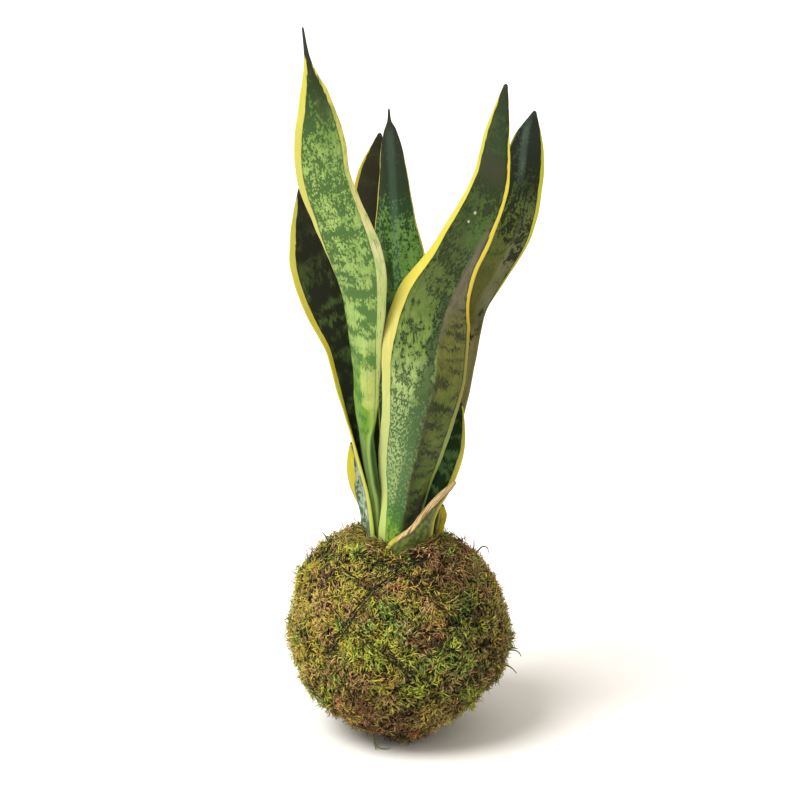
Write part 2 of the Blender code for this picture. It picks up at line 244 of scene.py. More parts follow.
scene = bpy.context.scene
scene.view_settings.view_transform = "Standard"
scene.world = bpy.data.worlds.new("studio")
scene.world.use_nodes = True
sky = scene.world.node_tree.nodes["Background"]
sky.inputs["Color"].default_value = SKY_COLOUR
sky.inputs["Strength"].default_value = SKY_STRENGTH
sun_data = bpy.data.lights.new("window_light", "SUN")
sun_data.energy = SUN_STRENGTH
sun_data.angle = SUN_ANGLE
sun_data.color = SUN_COLOUR
sun = bpy.data.objects.new("window_light", sun_data)
sun.rotation_mode = "QUATERNION"
sun.rotation_quaternion = TO_THE_SUN.to_track_quat("Z", "Y")
scene.collection.objects.link(sun)


# %% [markdown]
# ## Meshes from arrays
# A leaf has thousands of points and the moss has hundreds of thousands, so points and faces
# are worked out as whole arrays and handed to Blender at once. Each piece is a closed solid,
# and the sum of its signed volumes tells whether its faces look outward.

# %% Mesh helpers
def faces_outward(points, faces):
    """The same faces, turned over if the solid would be inside out."""
    volume = 0.0
    for part in faces:
        a = points[part[:, 0]]
        for k in range(1, part.shape[1] - 1):
            crossed = np.cross(points[part[:, k]], points[part[:, k + 1]])
            volume += float(np.einsum("ij,ij->", a, crossed))
    return faces if volume > 0 else [part[:, ::-1] for part in faces]


def solid(name, points, faces, finish, nodes):
    """A closed smooth mesh that rides on the plant's one body and stands for CAD nodes."""
    mesh = bpy.data.meshes.new(name)
    corners = np.concatenate([part.ravel() for part in faces]).astype(np.int32)
    sizes = np.concatenate([np.full(len(part), part.shape[1]) for part in faces])
    starts = (np.cumsum(sizes) - sizes).astype(np.int32)
    mesh.vertices.add(len(points))
    mesh.vertices.foreach_set("co", points.astype(np.float32).ravel())
    mesh.loops.add(len(corners))
    mesh.loops.foreach_set("vertex_index", corners)
    mesh.polygons.add(len(sizes))
    mesh.polygons.foreach_set("loop_start", starts)
    mesh.update(calc_edges=True)
    mesh.shade_smooth()
    mesh.materials.append(finish)
    piece = bpy.data.objects.new(name, mesh)
    scene.collection.objects.link(piece)
    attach(piece, "root")
    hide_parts(*nodes)
    triangles = sum(len(part) * (part.shape[1] - 2) for part in faces)
    print(f"{name}: {len(points)} points, {triangles} triangles")
    return piece


def write_attribute(piece, name, kind, values):
    """A value for each point, which the finish reads by name."""
    field = {"FLOAT": "value", "FLOAT_COLOR": "color"}[kind]
    made = piece.data.attributes.new(name, kind, "POINT")
    made.data.foreach_set(field, np.ascontiguousarray(values, dtype=np.float32).ravel())


def write_map(piece, places):
    """A flat layout of the faces, for baking the finish."""
    layer = piece.data.uv_layers.new(name="OFBake")
    layer.uv.foreach_set("vector", np.ascontiguousarray(places, dtype=np.float32).ravel())


# %% [markdown]
# ## The leaves' middle lines
# Each leaf is measured as a few stations along its middle line: where the line passes, how
# wide the blade is there, which way it faces and how far it bends across. Between stations a
# smooth curve runs, as it does in the CAD. The stations were fitted to the picture more
# closely than the solids were, so a blade can lie apart from its solid: by up to 8.2 mm low
# on the front left leaf, 7.3 mm low on the left one, and less than 4 mm on the others.

# %% Stations of the leaves
# x, y, z and width in millimetres, the way that the seen face turns and the bend across
LEAF_ROWS = {
    "leaf_front_right": (
        (-1.7, -12, 92, 21, 4, 130),
        (-2.0, -13, 105, 24.5, 4, 125),
        (1.8, -16, 131, 31.8, 4, 100),
        (4.5, -21, 152, 37.5, 3, 75),
        (8.6, -26, 175, 40.6, 2, 62),
        (11.2, -29, 197, 45.5, 0, 55),
        (11.7, -31, 218, 46.2, -6, 50),
        (14.7, -31, 238, 43.7, -22, 45),
        (24.8, -30, 259, 34.1, -42, 35),
        (35.4, -30, 279, 27.9, -42, 25),
        (43.6, -31, 299, 22.5, -38, 20),
        (46.6, -35, 322, 14, -30, 15),
        (50.6, -38, 346.5, 2, -20, 10),
    ),
    "leaf_front_left": (
        (-12.6, 0.4, 92, 9.6, -60, 110),
        (-15.0, -4.0, 130, 14.2, -56, 106),
        (-18.0, -7.6, 150, 18.6, -53, 96),
        (-20.2, -11.5, 173, 18.6, -56, 90),
        (-20.5, -13, 194, 23, -48, 70),
        (-20.5, -15, 216, 26, -42, 55),
        (-19.8, -19, 238, 27.4, -32, 40),
        (-23, -24, 259, 29, -20, 32),
        (-31, -27, 280, 28, -12, 28),
        (-38, -31, 300, 27, -8, 28),
        (-40, -34, 320, 25, -5, 28),
        (-42, -35, 341, 14.5, -3, 25),
        (-44.3, -35, 353, 6, 0, 15),
        (-45.6, -35, 361, 2.6, 0, 10),
        (-47.3, -34, 373.3, 1, 0, 5),
    ),
    "leaf_left": (
        (-16.2, 1, 92, 15, 78, -130),
        (-16.6, 1, 111, 16, 78, -130),
        (-18.2, 2, 130, 17, 72, -125),
        (-21.6, 3.5, 148, 17.5, 62, -105),
        (-23.7, 5, 168, 19, 46, -75),
        (-27, 7, 189, 22, 38, -60),
        (-30.5, 9, 209, 26, 32, -55),
        (-38, 12, 230, 31, 26, -45),
        (-44, 15, 251, 30, 20, -35),
        (-49, 17, 269, 17, 14, -25),
        (-52, 18, 288, 2, 10, -10),
    ),
    "leaf_back_left": (
        (-9, 13, 92, 13, 20, -110),
        (-10, 16, 134, 19, 18, -90),
        (-10, 20, 175, 25, 15, -70),
        (-11, 27, 218, 28, 12, -55),
        (-12, 31, 253, 28, 10, -45),
        (-14, 34, 279, 25, 10, -40),
        (-13, 36, 296, 18, 10, -35),
        (-11, 37, 314, 2, 10, -10),
    ),
    "leaf_back_centre": (
        (-3, 3, 92, 12, -5, 110),
        (-2, 5, 136, 19, -8, 85),
        (-1, 8, 177, 24, -10, 60),
        (-1, 12, 219, 27, -12, 45),
        (-2, 16, 252, 29, -12, 40),
        (-3, 18, 270, 22, -10, 35),
        (-3.8, 21, 291, 16, -8, 30),
        (-5, 23, 310, 10.5, -5, 25),
        (-5.6, 24, 318, 6, 0, 15),
        (-6, 24, 322, 2.2, 0, 10),
        (-6.2, 24, 328, 1, 0, 5),
    ),
    "leaf_right": (
        (12, 8, 92, 13, -20, -110),
        (17, 9, 137, 19, -22, -95),
        (26, 11, 178, 22, -25, -75),
        (31.6, 12, 210, 23.4, -25, -60),
        (36, 14, 230, 22, -22, -50),
        (46, 16, 250, 25, -15, -40),
        (56, 19, 268, 26, -10, -35),
        (62, 23, 290, 23, -5, -30),
        (65.3, 26, 311, 16.5, 0, -25),
        (68.8, 27, 326.5, 2, 0, -10),
    ),
    "leaf_short_right": (
        (12, -3, 92, 12, -30, -90),
        (13, -3, 119, 14, -28, -80),
        (21, -3, 140, 18, -26, -60),
        (26, -3, 156, 17, -24, -50),
        (29, -3, 168, 10, -22, -35),
        (31, -3, 179, 2, -22, -15),
    ),
    "leaf_short_left": (
        (-16.3, 8, 92, 7, -50, 50),
        (-18.2, 8.5, 108, 8, -45, 50),
        (-19.8, 9, 120, 8.5, -40, 50),
        (-23, 10, 130, 11.5, -34, 45),
        (-24, 10.5, 137, 12, -30, 45),
        (-25, 11.5, 147, 8, -28, 30),
        (-26, 12, 154, 2, -28, 15),
    ),
    "leaf_stub": (
        (19, 8, 92, 6, -5, 90),
        (19.5, 8, 107, 6.5, -5, 80),
        (21, 8, 116, 7, -5, 60),
        (22, 8, 121, 2, -5, 30),
    ),
    "dry_bract": (
        (-3.5, -21, 92, 18, 2, 60),
        (0.7, -22, 103, 20.9, 6, 70),
        (9.0, -20.5, 114, 15.6, 15, 90),
        (13.6, -18, 123, 10.6, 22, 120),
        (20.2, -16, 132, 6.8, 24, 130),
        (28, -14, 140, 2, 24, 60),
    ),
}
LEAF_BASE_HEIGHT = 92.3 * MM


def smooth_rows(rows, count):
    """Stations at even steps along a smooth curve through the rows."""
    rows = np.array(rows, dtype=float)
    marks = np.concatenate([[0], np.cumsum(np.linalg.norm(np.diff(rows[:, :3], axis=0), axis=1))])
    low = np.maximum(np.arange(len(rows)) - 1, 0)
    high = np.minimum(np.arange(len(rows)) + 1, len(rows) - 1)
    slopes = (rows[high] - rows[low]) / (marks[high] - marks[low])[:, None]
    places = np.linspace(0, marks[-1], count)
    span = np.clip(np.searchsorted(marks, places, side="left") - 1, 0, len(rows) - 2)
    length = (marks[span + 1] - marks[span])[:, None]
    t = (places - marks[span])[:, None] / length
    return (
        (2 * t**3 - 3 * t**2 + 1) * rows[span]
        + (t**3 - 2 * t**2 + t) * length * slopes[span]
        + (3 * t**2 - 2 * t**3) * rows[span + 1]
        + (t**3 - t**2) * length * slopes[span + 1]
    ), places


# %% [markdown]
# ## The blade
# A snake plant's leaf is a thick strap, hollow or ridged across, with a thin firm margin and
# a short spike at its tip. The blade is a tube of flat rings, one at each station: one half
# of a ring is the seen face and the other the hidden face. Points crowd toward the margin,
# so that its rounding and the line of the yellow band stay crisp. The finish needs to know
# where it is on the leaf, so each point carries its place along and across in millimetres
# and how deep it lies in the yellow margin.

# %% Blade builder
LEAF_COLUMNS = 41
LEAF_STATIONS = 150
WAVE_SKEW = 0.9
THICKNESS_FALL = 0.65
EDGE_THICKNESS = 0.55
LEAST_HALF_THICKNESS = 0.12
ROUNDED_SHARE = 0.05
RIDGE_SHARPNESS = 7
CURL_START = 0.45
NIBBLE_DEPTH = 0.35
NIBBLE_RATE = 0.11
TIP_LENGTH = 0.8
# The part of the flat layout that the blade's sides fill, between its base and tip fans
MAP_START, MAP_SPAN = 0.05, 0.9


def by_height(table, z):
    """Values that change with height, given as (height, value) pairs in millimetres."""
    if not table:
        return np.zeros_like(z)
    heights, values = zip(*table)
    return np.interp(z, heights, values)


def tube_faces(count, along):
    """Faces of a tube of rings with a fan at each end, and where they lie in the flat layout."""
    ring = 2 * LEAF_COLUMNS
    grid = np.arange(count * ring).reshape(count, ring)
    after = np.roll(grid, -1, axis=1)
    quads = np.stack([grid[:-1], after[:-1], after[1:], grid[1:]], axis=-1).reshape(-1, 4)
    tip_fan = np.stack([grid[-1], after[-1], np.full(ring, count * ring)], axis=-1)
    base_fan = np.stack([after[0], grid[0], np.full(ring, count * ring + 1)], axis=-1)
    u = np.arange(ring) / ring
    u_here = np.broadcast_to(u, (count - 1, ring))
    u_next = u_here + 1 / ring
    up, down = (np.broadcast_to(part[:, None] * MAP_SPAN + MAP_START, (count - 1, ring))
                for part in (along[:-1], along[1:]))
    quad_map = np.stack([u_here, up, u_next, up, u_next, down, u_here, down], axis=-1)
    top, bottom = u * 0 + MAP_START + MAP_SPAN, u * 0 + MAP_START
    tip_map = np.stack([u, top, u + 1 / ring, top, u, u * 0 + 1], axis=-1)
    base_map = np.stack([u + 1 / ring, bottom, u, bottom, u, u * 0], axis=-1)
    maps = [quad_map.reshape(-1, 4, 2), tip_map.reshape(-1, 3, 2), base_map.reshape(-1, 3, 2)]
    return [quads, tip_fan, base_fan], maps


def build_blade(name, finish, thickness, wave, waves, phase, left, right,
                ridge=(), ridge_strength=(), curl=(), count=LEAF_STATIONS):
    """Tables run up the leaf in millimetres. They give the width of both margins in millimetres,
    the ridge and its strength as shares, and the curl in degrees."""
    stations, marks = smooth_rows(LEAF_ROWS[name], count)
    centre = stations[:, :3]
    width = stations[:, 3]
    facing = np.radians(stations[:, 4])
    bend = np.radians(stations[:, 5])
    along = marks / marks[-1]
    z = centre[:, 2]
    tangent = np.gradient(centre, axis=0)
    tangent /= np.linalg.norm(tangent, axis=1)[:, None]
    outward = np.stack([np.sin(facing), -np.cos(facing), np.zeros(count)], axis=1)
    across = np.cross(tangent, outward)
    across /= np.linalg.norm(across, axis=1)[:, None]
    outward = np.cross(across, tangent)

    v = -np.cos(np.linspace(0, pi, LEAF_COLUMNS))
    fold_at = by_height(ridge, z)[:, None]
    fold = by_height(ridge_strength, z)[:, None]
    turned = np.tanh(RIDGE_SHARPNESS * (v - fold_at))
    angle = bend[:, None] / 2 * ((1 - fold) * v + fold * turned)
    curled = np.clip((-v - CURL_START) / (1 - CURL_START), 0, 1) ** 1.5
    angle = angle + np.radians(by_height(curl, z))[:, None] * curled
    half_width = width[:, None] / 2
    steps = np.diff(v)[None, :]
    middle = (angle[:, 1:] + angle[:, :-1]) / 2
    mid = LEAF_COLUMNS // 2
    aside, inward = (
        np.concatenate([np.zeros((count, 1)), np.cumsum(share * steps, axis=1)], axis=1)
        for share in (np.cos(middle), np.sin(middle)))
    aside = (aside - aside[:, mid:mid + 1]) * half_width
    inward = (inward - inward[:, mid:mid + 1]) * half_width
    swell = wave * np.sin(pi * along)[:, None] * np.abs(v) ** 3
    swell = swell * np.sin((phase + 2 * pi * waves * along)[:, None] + WAVE_SKEW * v)
    edge_noise = np.array([
        [noise.noise(Vector((mark * NIBBLE_RATE, side * 9.0, phase * 7))) for side in (0, 1)]
        for mark in marks])
    nibble = np.where(v < 0, edge_noise[:, :1], edge_noise[:, 1:]) * np.abs(v) ** 6 * NIBBLE_DEPTH
    aside = aside + nibble * np.sign(v) * np.minimum(1, half_width / 8)
    skin = (centre[:, None, :] + across[:, None, :] * aside[..., None]
            + outward[:, None, :] * (swell - inward)[..., None])
    normal = (outward[:, None, :] * np.cos(angle)[..., None]
              + across[:, None, :] * np.sin(angle)[..., None])
    thick = (thickness[0] + (thickness[1] - thickness[0]) * along)[:, None]
    thick = np.maximum(thick * (1 - THICKNESS_FALL * v * v), EDGE_THICKNESS)
    into_edge = np.clip(np.abs(v) - (1 - ROUNDED_SHARE), 0, 1) / ROUNDED_SHARE
    rounding = np.sqrt(np.clip(1 - into_edge ** 2, 0.06, 1))
    half = thick * rounding / 2
    half = np.minimum(half, np.maximum(width[:, None] * 0.4, LEAST_HALF_THICKNESS))
    seen = skin + normal * half[..., None]
    hidden = skin - normal * half[..., None]
    rings = np.concatenate([seen, hidden[:, ::-1]], axis=1)
    rings[0, :, 2] = LEAF_BASE_HEIGHT / MM
    ring = 2 * LEAF_COLUMNS
    tip = rings[-1].mean(axis=0) + tangent[-1] * TIP_LENGTH
    base = rings[0].mean(axis=0)
    points = np.concatenate([rings.reshape(-1, 3), [tip, base]]) * MM

    faces, maps = tube_faces(count, along)
    turned_faces = faces_outward(points, faces)
    if turned_faces is not faces:
        maps = [part[:, ::-1] for part in maps]
    piece = solid(name + "_blade", points, turned_faces, finish, [name])
    write_map(piece, np.concatenate([part.reshape(-1, 2) for part in maps]))

    both = np.concatenate([v, v[::-1]])
    from_left = (both[None, :] + 1) * half_width
    from_right = (1 - both[None, :]) * half_width
    margin = np.maximum(by_height(left, z)[:, None] - from_left,
                        by_height(right, z)[:, None] - from_right)
    beyond = (both[None, :] - fold_at) * half_width
    behind = np.concatenate([np.zeros(LEAF_COLUMNS), np.ones(LEAF_COLUMNS)])
    # Each row gives the rings' values, then those of the tip point and the base point
    for attribute, values, at_tip, at_base in (
        ("aside_mm", both * half_width, 0, 0), ("along_mm", marks[:, None], marks[-1], 0),
        ("along", along[:, None], 1, 0), ("margin_mm", margin, -5, -5),
        ("beyond_mm", beyond, 0, 0), ("behind", behind, 0, 0), ("share_across", both, 0, 0),
    ):
        on_rings = np.broadcast_to(values, (count, ring)).ravel()
        write_attribute(piece, attribute, "FLOAT", np.append(on_rings, [at_tip, at_base]))


# %% [markdown]
# ## The leaves' finish
# A variegated snake plant has a pale ground crossed by darker bands whose edges are toothed
# along the fibres. Three noises make them: cross bands that a fine noise pushes up and down
# fibre by fibre, ragged blotches, and a dense speckle low on the widest leaf. Colours change
# along the leaf. Beyond its ridge, where the leaf turns from the window, other tones take over:
# partly the leaf's own colour and partly painted shade. Low on the right leaf, paler tones are
# painted light against the shadow of the front right leaf. Painted strips add sheen,
# reflections and the shadows of neighbouring leaves. The hollow face is darker, partly in its
# own colour and partly with painted shade. The margin is a plain yellow line with a wavering
# edge, which on old leaves is worn and streaked with green.

# %% Leaf finish
# The usual margin, from 0 to 255, as the tables of tones give their colours
YELLOW = (216, 204, 78)
CREAM = tone(232, 226, 150)
SPIKE_BROWN = tone(50, 56, 48)
SPECK_PALE = tone(176, 170, 150)
OUTER_GROUND = tone(128, 156, 88)
OUTER_BAND = tone(64, 94, 46)
CROSSBAR_BAND = tone(34, 44, 16)
# Colours that another is multiplied by
GROUND_SHADE = (0.62, 0.74, 0.50)
RIM_SHADE = (0.72, 0.74, 0.45)
# The hidden hollow face is multiplied by this: partly its own darker colour and partly painted shade
HOLLOW_FACE_PAINTED_SHADE = (0.45, 0.52, 0.36)
GRAIN_AMOUNT = 0.3


class LeafPaint(Paint):
    """A finish that knows where on a leaf each point lies."""

    def __init__(self, name, seed, roughness):
        super().__init__(name, roughness)
        self.across = self.attribute("aside_mm")
        self.upward = self.attribute("along_mm")
        self.along = self.attribute("along")
        self.behind = self.attribute("behind")
        self.beyond = self.attribute("beyond_mm")
        self.seed = self.behind * 31 + seed

    def tones(self, rows):
        """A colour that changes along the leaf, given as (share, red, green, blue) rows."""
        return self.ramp(self.along, [(place, tone(*colour)) for place, *colour in rows])

    def streaks(self, across, upward, seed, **settings):
        """Noise with this many features in a millimetre across and along the leaf."""
        place = self.point(self.across * across, self.upward * upward, self.seed + seed)
        return self.noise(place, **settings)

    def stretch(self, low, high, left, right):
        """1 inside a part of the leaf, given by shares along it and millimetres from its ridge."""
        inside = self.step(self.along, low - 0.03, low + 0.03)
        inside = inside * (1 - self.step(self.along, high - 0.03, high + 0.03))
        inside = inside * self.step(self.beyond, left - 1.2, left + 1.2)
        return inside * (1 - self.step(self.beyond, right - 1.2, right + 1.2))

    def dot(self, across, upward, radius):
        aside, above = self.across - across, self.upward - upward
        return 1 - self.step(aside * aside + above * above, radius ** 2 * 0.4, radius ** 2)


def leaf_finish(name, seed, ground, bands, amount, dashes, margin_tones, tip_start,
                fine=((0.0, 0.0),), hollow=((0.0, 0.0),), beyond=(), denser=(), crossbars=0.0,
                right_tones=(), patches=(), sheens_and_shadows=(), specks=(), outer=(), worn=0.0,
                softness=0.018, band_size=1.0, gloss=0.38):
    """Tables of tones and numbers run along the leaf, from 0 at its base to 1 at its tip."""
    paint = LeafPaint(name, seed, gloss)
    fibre = paint.streaks(1.1, 0.035, 0, detail=3, roughness=0.65)
    teeth = paint.streaks(0.75, 0.09, 3, detail=2, roughness=0.6)
    shifted = paint.upward + (fibre - 0.5) * 8 + (teeth - 0.5) * 7
    band = paint.noise(
        paint.point(paint.across * 0.045 * band_size, shifted * 0.12 * band_size, paint.seed + 7),
        detail=3, roughness=0.6, distortion=0.2)
    dash = paint.streaks(0.30, 0.16, 11, detail=2.6, roughness=0.72, distortion=0.5)
    speckle = paint.streaks(1.0, 0.58, 13, detail=1.6, roughness=0.7)
    pattern = band + (dash - band) * paint.level(paint.along, dashes)
    pattern = pattern + (speckle - pattern) * paint.level(paint.along, fine)
    if crossbars:
        bar = paint.noise(
            paint.point(paint.across * 0.07, shifted * 0.22, paint.seed + 9), detail=4.5,
            roughness=0.72)
        pattern = pattern + (bar - pattern) * paint.step(paint.beyond, -1.0, 1.0) * crossbars
    cloud = paint.streaks(0.07, 0.045, 17, detail=2)
    threshold = paint.level(paint.along, amount) + (cloud - 0.5) * 0.24
    for low, high, left, right, change in denser:
        threshold = threshold - paint.stretch(low, high, left, right) * change
    dark = paint.step(pattern, threshold - softness, threshold + softness)
    core = paint.step(pattern, threshold + 0.03, threshold + 0.075)
    dark = dark * (1 - core * paint.level(paint.along, hollow))
    dusky = paint.step(pattern, threshold - 0.12, threshold) * 0.3

    ground_colour = paint.tones(ground)
    # Beyond the ridge the ground takes other tones: the darker ones are partly painted shade where the
    # blade turns from the window, and on the right leaf paler ones are painted light against a cast
    # shadow
    if beyond:
        turned = paint.step(paint.beyond, -0.5, 0.7)
        ground_colour = paint.mix(turned, ground_colour, paint.tones(beyond))
    for low, high, left, right, colour, strength in patches:
        ground_colour = paint.mix(
            paint.stretch(low, high, left, right) * strength, ground_colour, colour)
    band_colour = paint.tones(bands)
    if crossbars:
        band_colour = paint.mix(turned, band_colour, CROSSBAR_BAND)
    if outer:
        ground_colour = paint.mix(paint.behind, ground_colour, outer[0])
        band_colour = paint.mix(paint.behind, band_colour, outer[1])
    shade = paint.streaks(0.16, 0.10, 19, detail=2)
    ground_colour = paint.mix(
        paint.step(shade, 0.42, 0.62) * 0.45, ground_colour, GROUND_SHADE, "MULTIPLY")
    grain = paint.streaks(2.6, 0.6, 23, detail=2, roughness=0.7)
    colour = paint.mix(dusky, ground_colour, band_colour)
    colour = paint.mix(dark * 0.96, colour, band_colour)
    colour = paint.mix(
        paint.step(grain, 0.56, 0.70) * GRAIN_AMOUNT * (1 - dark), colour, band_colour)
    hairlines = paint.step(paint.streaks(1.4, 0.012, 29, detail=1), 0.62, 0.66)
    colour = paint.mix(hairlines * 0.3, colour, band_colour)
    # Painted strips: painted sheen and reflections, painted shade along ridges, and painted shadows of
    # neighbouring leaves
    for low, high, left, right, sheen_and_shadow_tone, strength in sheens_and_shadows:
        colour = paint.mix(paint.stretch(low, high, left, right) * strength, colour, sheen_and_shadow_tone)

    ragged = paint.attribute("margin_mm") + (fibre - 0.5) * 1.4 + (teeth - 0.5) * 0.5
    inside = paint.step(ragged, -0.12, 0.28)
    rim_tone = paint.tones(margin_tones)
    blotch = paint.streaks(0.5, 0.09, 37, detail=2)
    rim_tone = paint.mix(paint.step(blotch, 0.5, 0.8) * 0.35, rim_tone, CREAM)
    rim_tone = paint.mix(
        paint.step(paint.streaks(2.2, 0.02, 41, detail=2), 0.5, 0.7) * 0.22, rim_tone,
        paint.mix(1.0, rim_tone, RIM_SHADE, "MULTIPLY"))
    if right_tones:
        right_half = paint.step(paint.attribute("share_across"), -0.1, 0.1)
        rim_tone = paint.mix(right_half, rim_tone, paint.tones(right_tones))
        if worn:
            patch = paint.step(paint.streaks(0.45, 0.10, 43, detail=3, roughness=0.6), 0.48, 0.58)
            rim_tone = paint.mix(patch * right_half * worn, rim_tone, ground_colour)
            nicks = paint.step(paint.streaks(1.5, 0.14, 47, detail=1), 0.62, 0.66)
            rim_tone = paint.mix(nicks * right_half * worn, rim_tone, band_colour)
    seam = paint.step(ragged, -0.9, -0.2) * (1 - inside)
    colour = paint.mix(seam * 0.6, colour, band_colour)
    colour = paint.mix(inside, colour, rim_tone)
    for across, upward, radius in specks:
        colour = paint.mix(paint.dot(across, upward, radius) * 0.8, colour, SPECK_PALE)
    # Where a leaf's hidden face has no colour of its own, it is darkened: partly a darker colour and
    # partly painted shade in the hollow
    if not outer:
        shaded_hollow_face = paint.mix(1.0, colour, HOLLOW_FACE_PAINTED_SHADE, "MULTIPLY")
        colour = paint.mix(paint.behind * (1 - inside * 0.8), colour, shaded_hollow_face)
    spike = paint.step(paint.along, tip_start, min(tip_start + 0.02, 0.999))
    colour = paint.mix(spike, colour, SPIKE_BROWN)
    paint.set(Base_Color=colour, Roughness=gloss - 0.08 + fibre * 0.22 + spike * 0.2)
    paint.set(Specular_IOR_Level=0.15)
    paint.bump(fibre * 0.7 + grain * 0.3 + dark * 0.2, 0.12 * MM, 0.7)
    return paint.material


# %% Front right leaf
front_right_finish = leaf_finish(
    "front_right_leaf_finish", seed=3, crossbars=0.9, tip_start=0.985,
    ground=((0.0, 190, 212, 104), (0.05, 168, 204, 80), (0.09, 140, 180, 68), (0.12, 122, 162, 78),
        (0.15, 154, 178, 112), (0.32, 166, 189, 122), (0.4, 174, 197, 122), (0.48, 122, 148, 72),
        (0.6, 84, 100, 46), (0.7, 62, 78, 36), (0.8, 60, 80, 38), (0.87, 58, 78, 40),
        (0.94, 58, 76, 42), (0.97, 48, 60, 38)),
    bands=((0.0, 112, 160, 44), (0.07, 80, 128, 38), (0.13, 62, 104, 48), (0.2, 84, 112, 68),
        (0.34, 66, 94, 52), (0.46, 32, 50, 22), (0.62, 24, 36, 16), (0.8, 36, 46, 24),
        (0.84, 54, 52, 36), (0.88, 44, 60, 32), (0.96, 44, 54, 34)),
    amount=((0.0, 0.6), (0.07, 0.56), (0.1, 0.48), (0.12, 0.49), (0.14, 0.52), (0.3, 0.52),
        (0.38, 0.54), (0.46, 0.545), (0.6, 0.53), (0.72, 0.53), (0.8, 0.5), (0.825, 0.38),
        (0.855, 0.38), (0.875, 0.52), (0.94, 0.5), (0.965, 0.4)),
    dashes=((0.0, 0.3), (0.15, 0.7), (0.4, 0.55), (0.6, 0.6), (0.9, 0.4)),
    fine=((0.0, 0.1), (0.1, 0.3), (0.15, 0.9), (0.3, 0.9), (0.38, 0.3), (0.48, 0.1), (0.6, 0.3),
        (0.8, 0.3)),
    hollow=((0.34, 0.0), (0.42, 0.6), (0.66, 0.6), (0.74, 0.2)),
    margin_tones=((0.0, 188, 208, 108), (0.2, 186, 203, 126), (0.36, 192, 200, 122),
        (0.48, 204, 198, 108), (0.6, *YELLOW), (0.9, 206, 200, 78)),
    right_tones=((0.0, 130, 160, 76), (0.12, 136, 160, 86), (0.3, 132, 146, 72),
        (0.4, 140, 134, 56), (0.5, 158, 144, 54), (0.56, 196, 168, 58), (0.7, 208, 190, 68),
        (1.0, 206, 198, 76)),
    # Beyond the ridge, olive and brown tones: partly the leaf's own colour and partly painted shade
    beyond=((0.0, 92, 134, 50), (0.14, 76, 102, 36), (0.26, 84, 100, 38), (0.38, 112, 116, 50),
        (0.5, 112, 114, 52), (0.58, 96, 98, 56), (0.68, 82, 90, 54), (0.76, 66, 90, 40)),
    patches=((0.68, 0.83, -8.0, 6.0, tone(72, 98, 42), 0.7),
        (0.1, 0.4, 4.0, 14.0, tone(96, 112, 40), 0.75),
        (0.1, 0.36, -5.0, -0.4, tone(66, 104, 70), 0.6),
        (0.36, 0.6, -5.0, -0.4, tone(66, 100, 52), 0.5),
        (0.27, 0.44, -9.0, -2.0, tone(94, 122, 68), 0.6)),
    denser=((0.1, 0.6, -5.0, -0.4, 0.07), (0.27, 0.46, -9.0, -2.0, 0.04)),
    # Painted shade along the ridge low down, then a painted grey sheen on and beyond the ridge higher up
    sheens_and_shadows=((0.06, 0.27, -0.2, 1.8, tone(62, 58, 32), 0.55),
        (0.27, 0.42, -1.4, 2.0, tone(60, 66, 36), 0.65),
        (0.49, 0.74, -0.4, 1.7, tone(104, 98, 80), 0.7),
        (0.57, 0.71, 1.0, 6.0, tone(112, 102, 86), 0.5)),
    specks=((-0.2, 199.0, 1.0), (-1.4, 193.6, 0.9)))
build_blade(
    "leaf_front_right", front_right_finish, thickness=(4.0, 1.1), wave=0.8, waves=3.5,
    phase=0.4,
    left=((92, 5.8), (112, 6.6), (130, 6.4), (155, 6.0), (185, 5.0), (205, 5.4), (218, 7.2),
        (234, 8.2), (247, 7.4), (258, 5.8), (268, 4.2), (300, 2.9), (320, 2.3), (338, 1.0),
        (343, 0)),
    right=((92, 1.0), (125, 3.2), (165, 3.4), (185, 2.4), (215, 1.5), (240, 1.7), (270, 1.9),
        (300, 1.6), (318, 1.0), (328, 0)),
    ridge=((92, 0.04), (125, 0.06), (141, 0.06), (156, 0.12), (177, 0.14), (199, 0.26), (217, 0.3),
        (246, 0.56), (262, 0.7)),
    ridge_strength=((92, 0.2), (130, 0.62), (250, 0.66), (275, 0.25), (300, 0.0)))

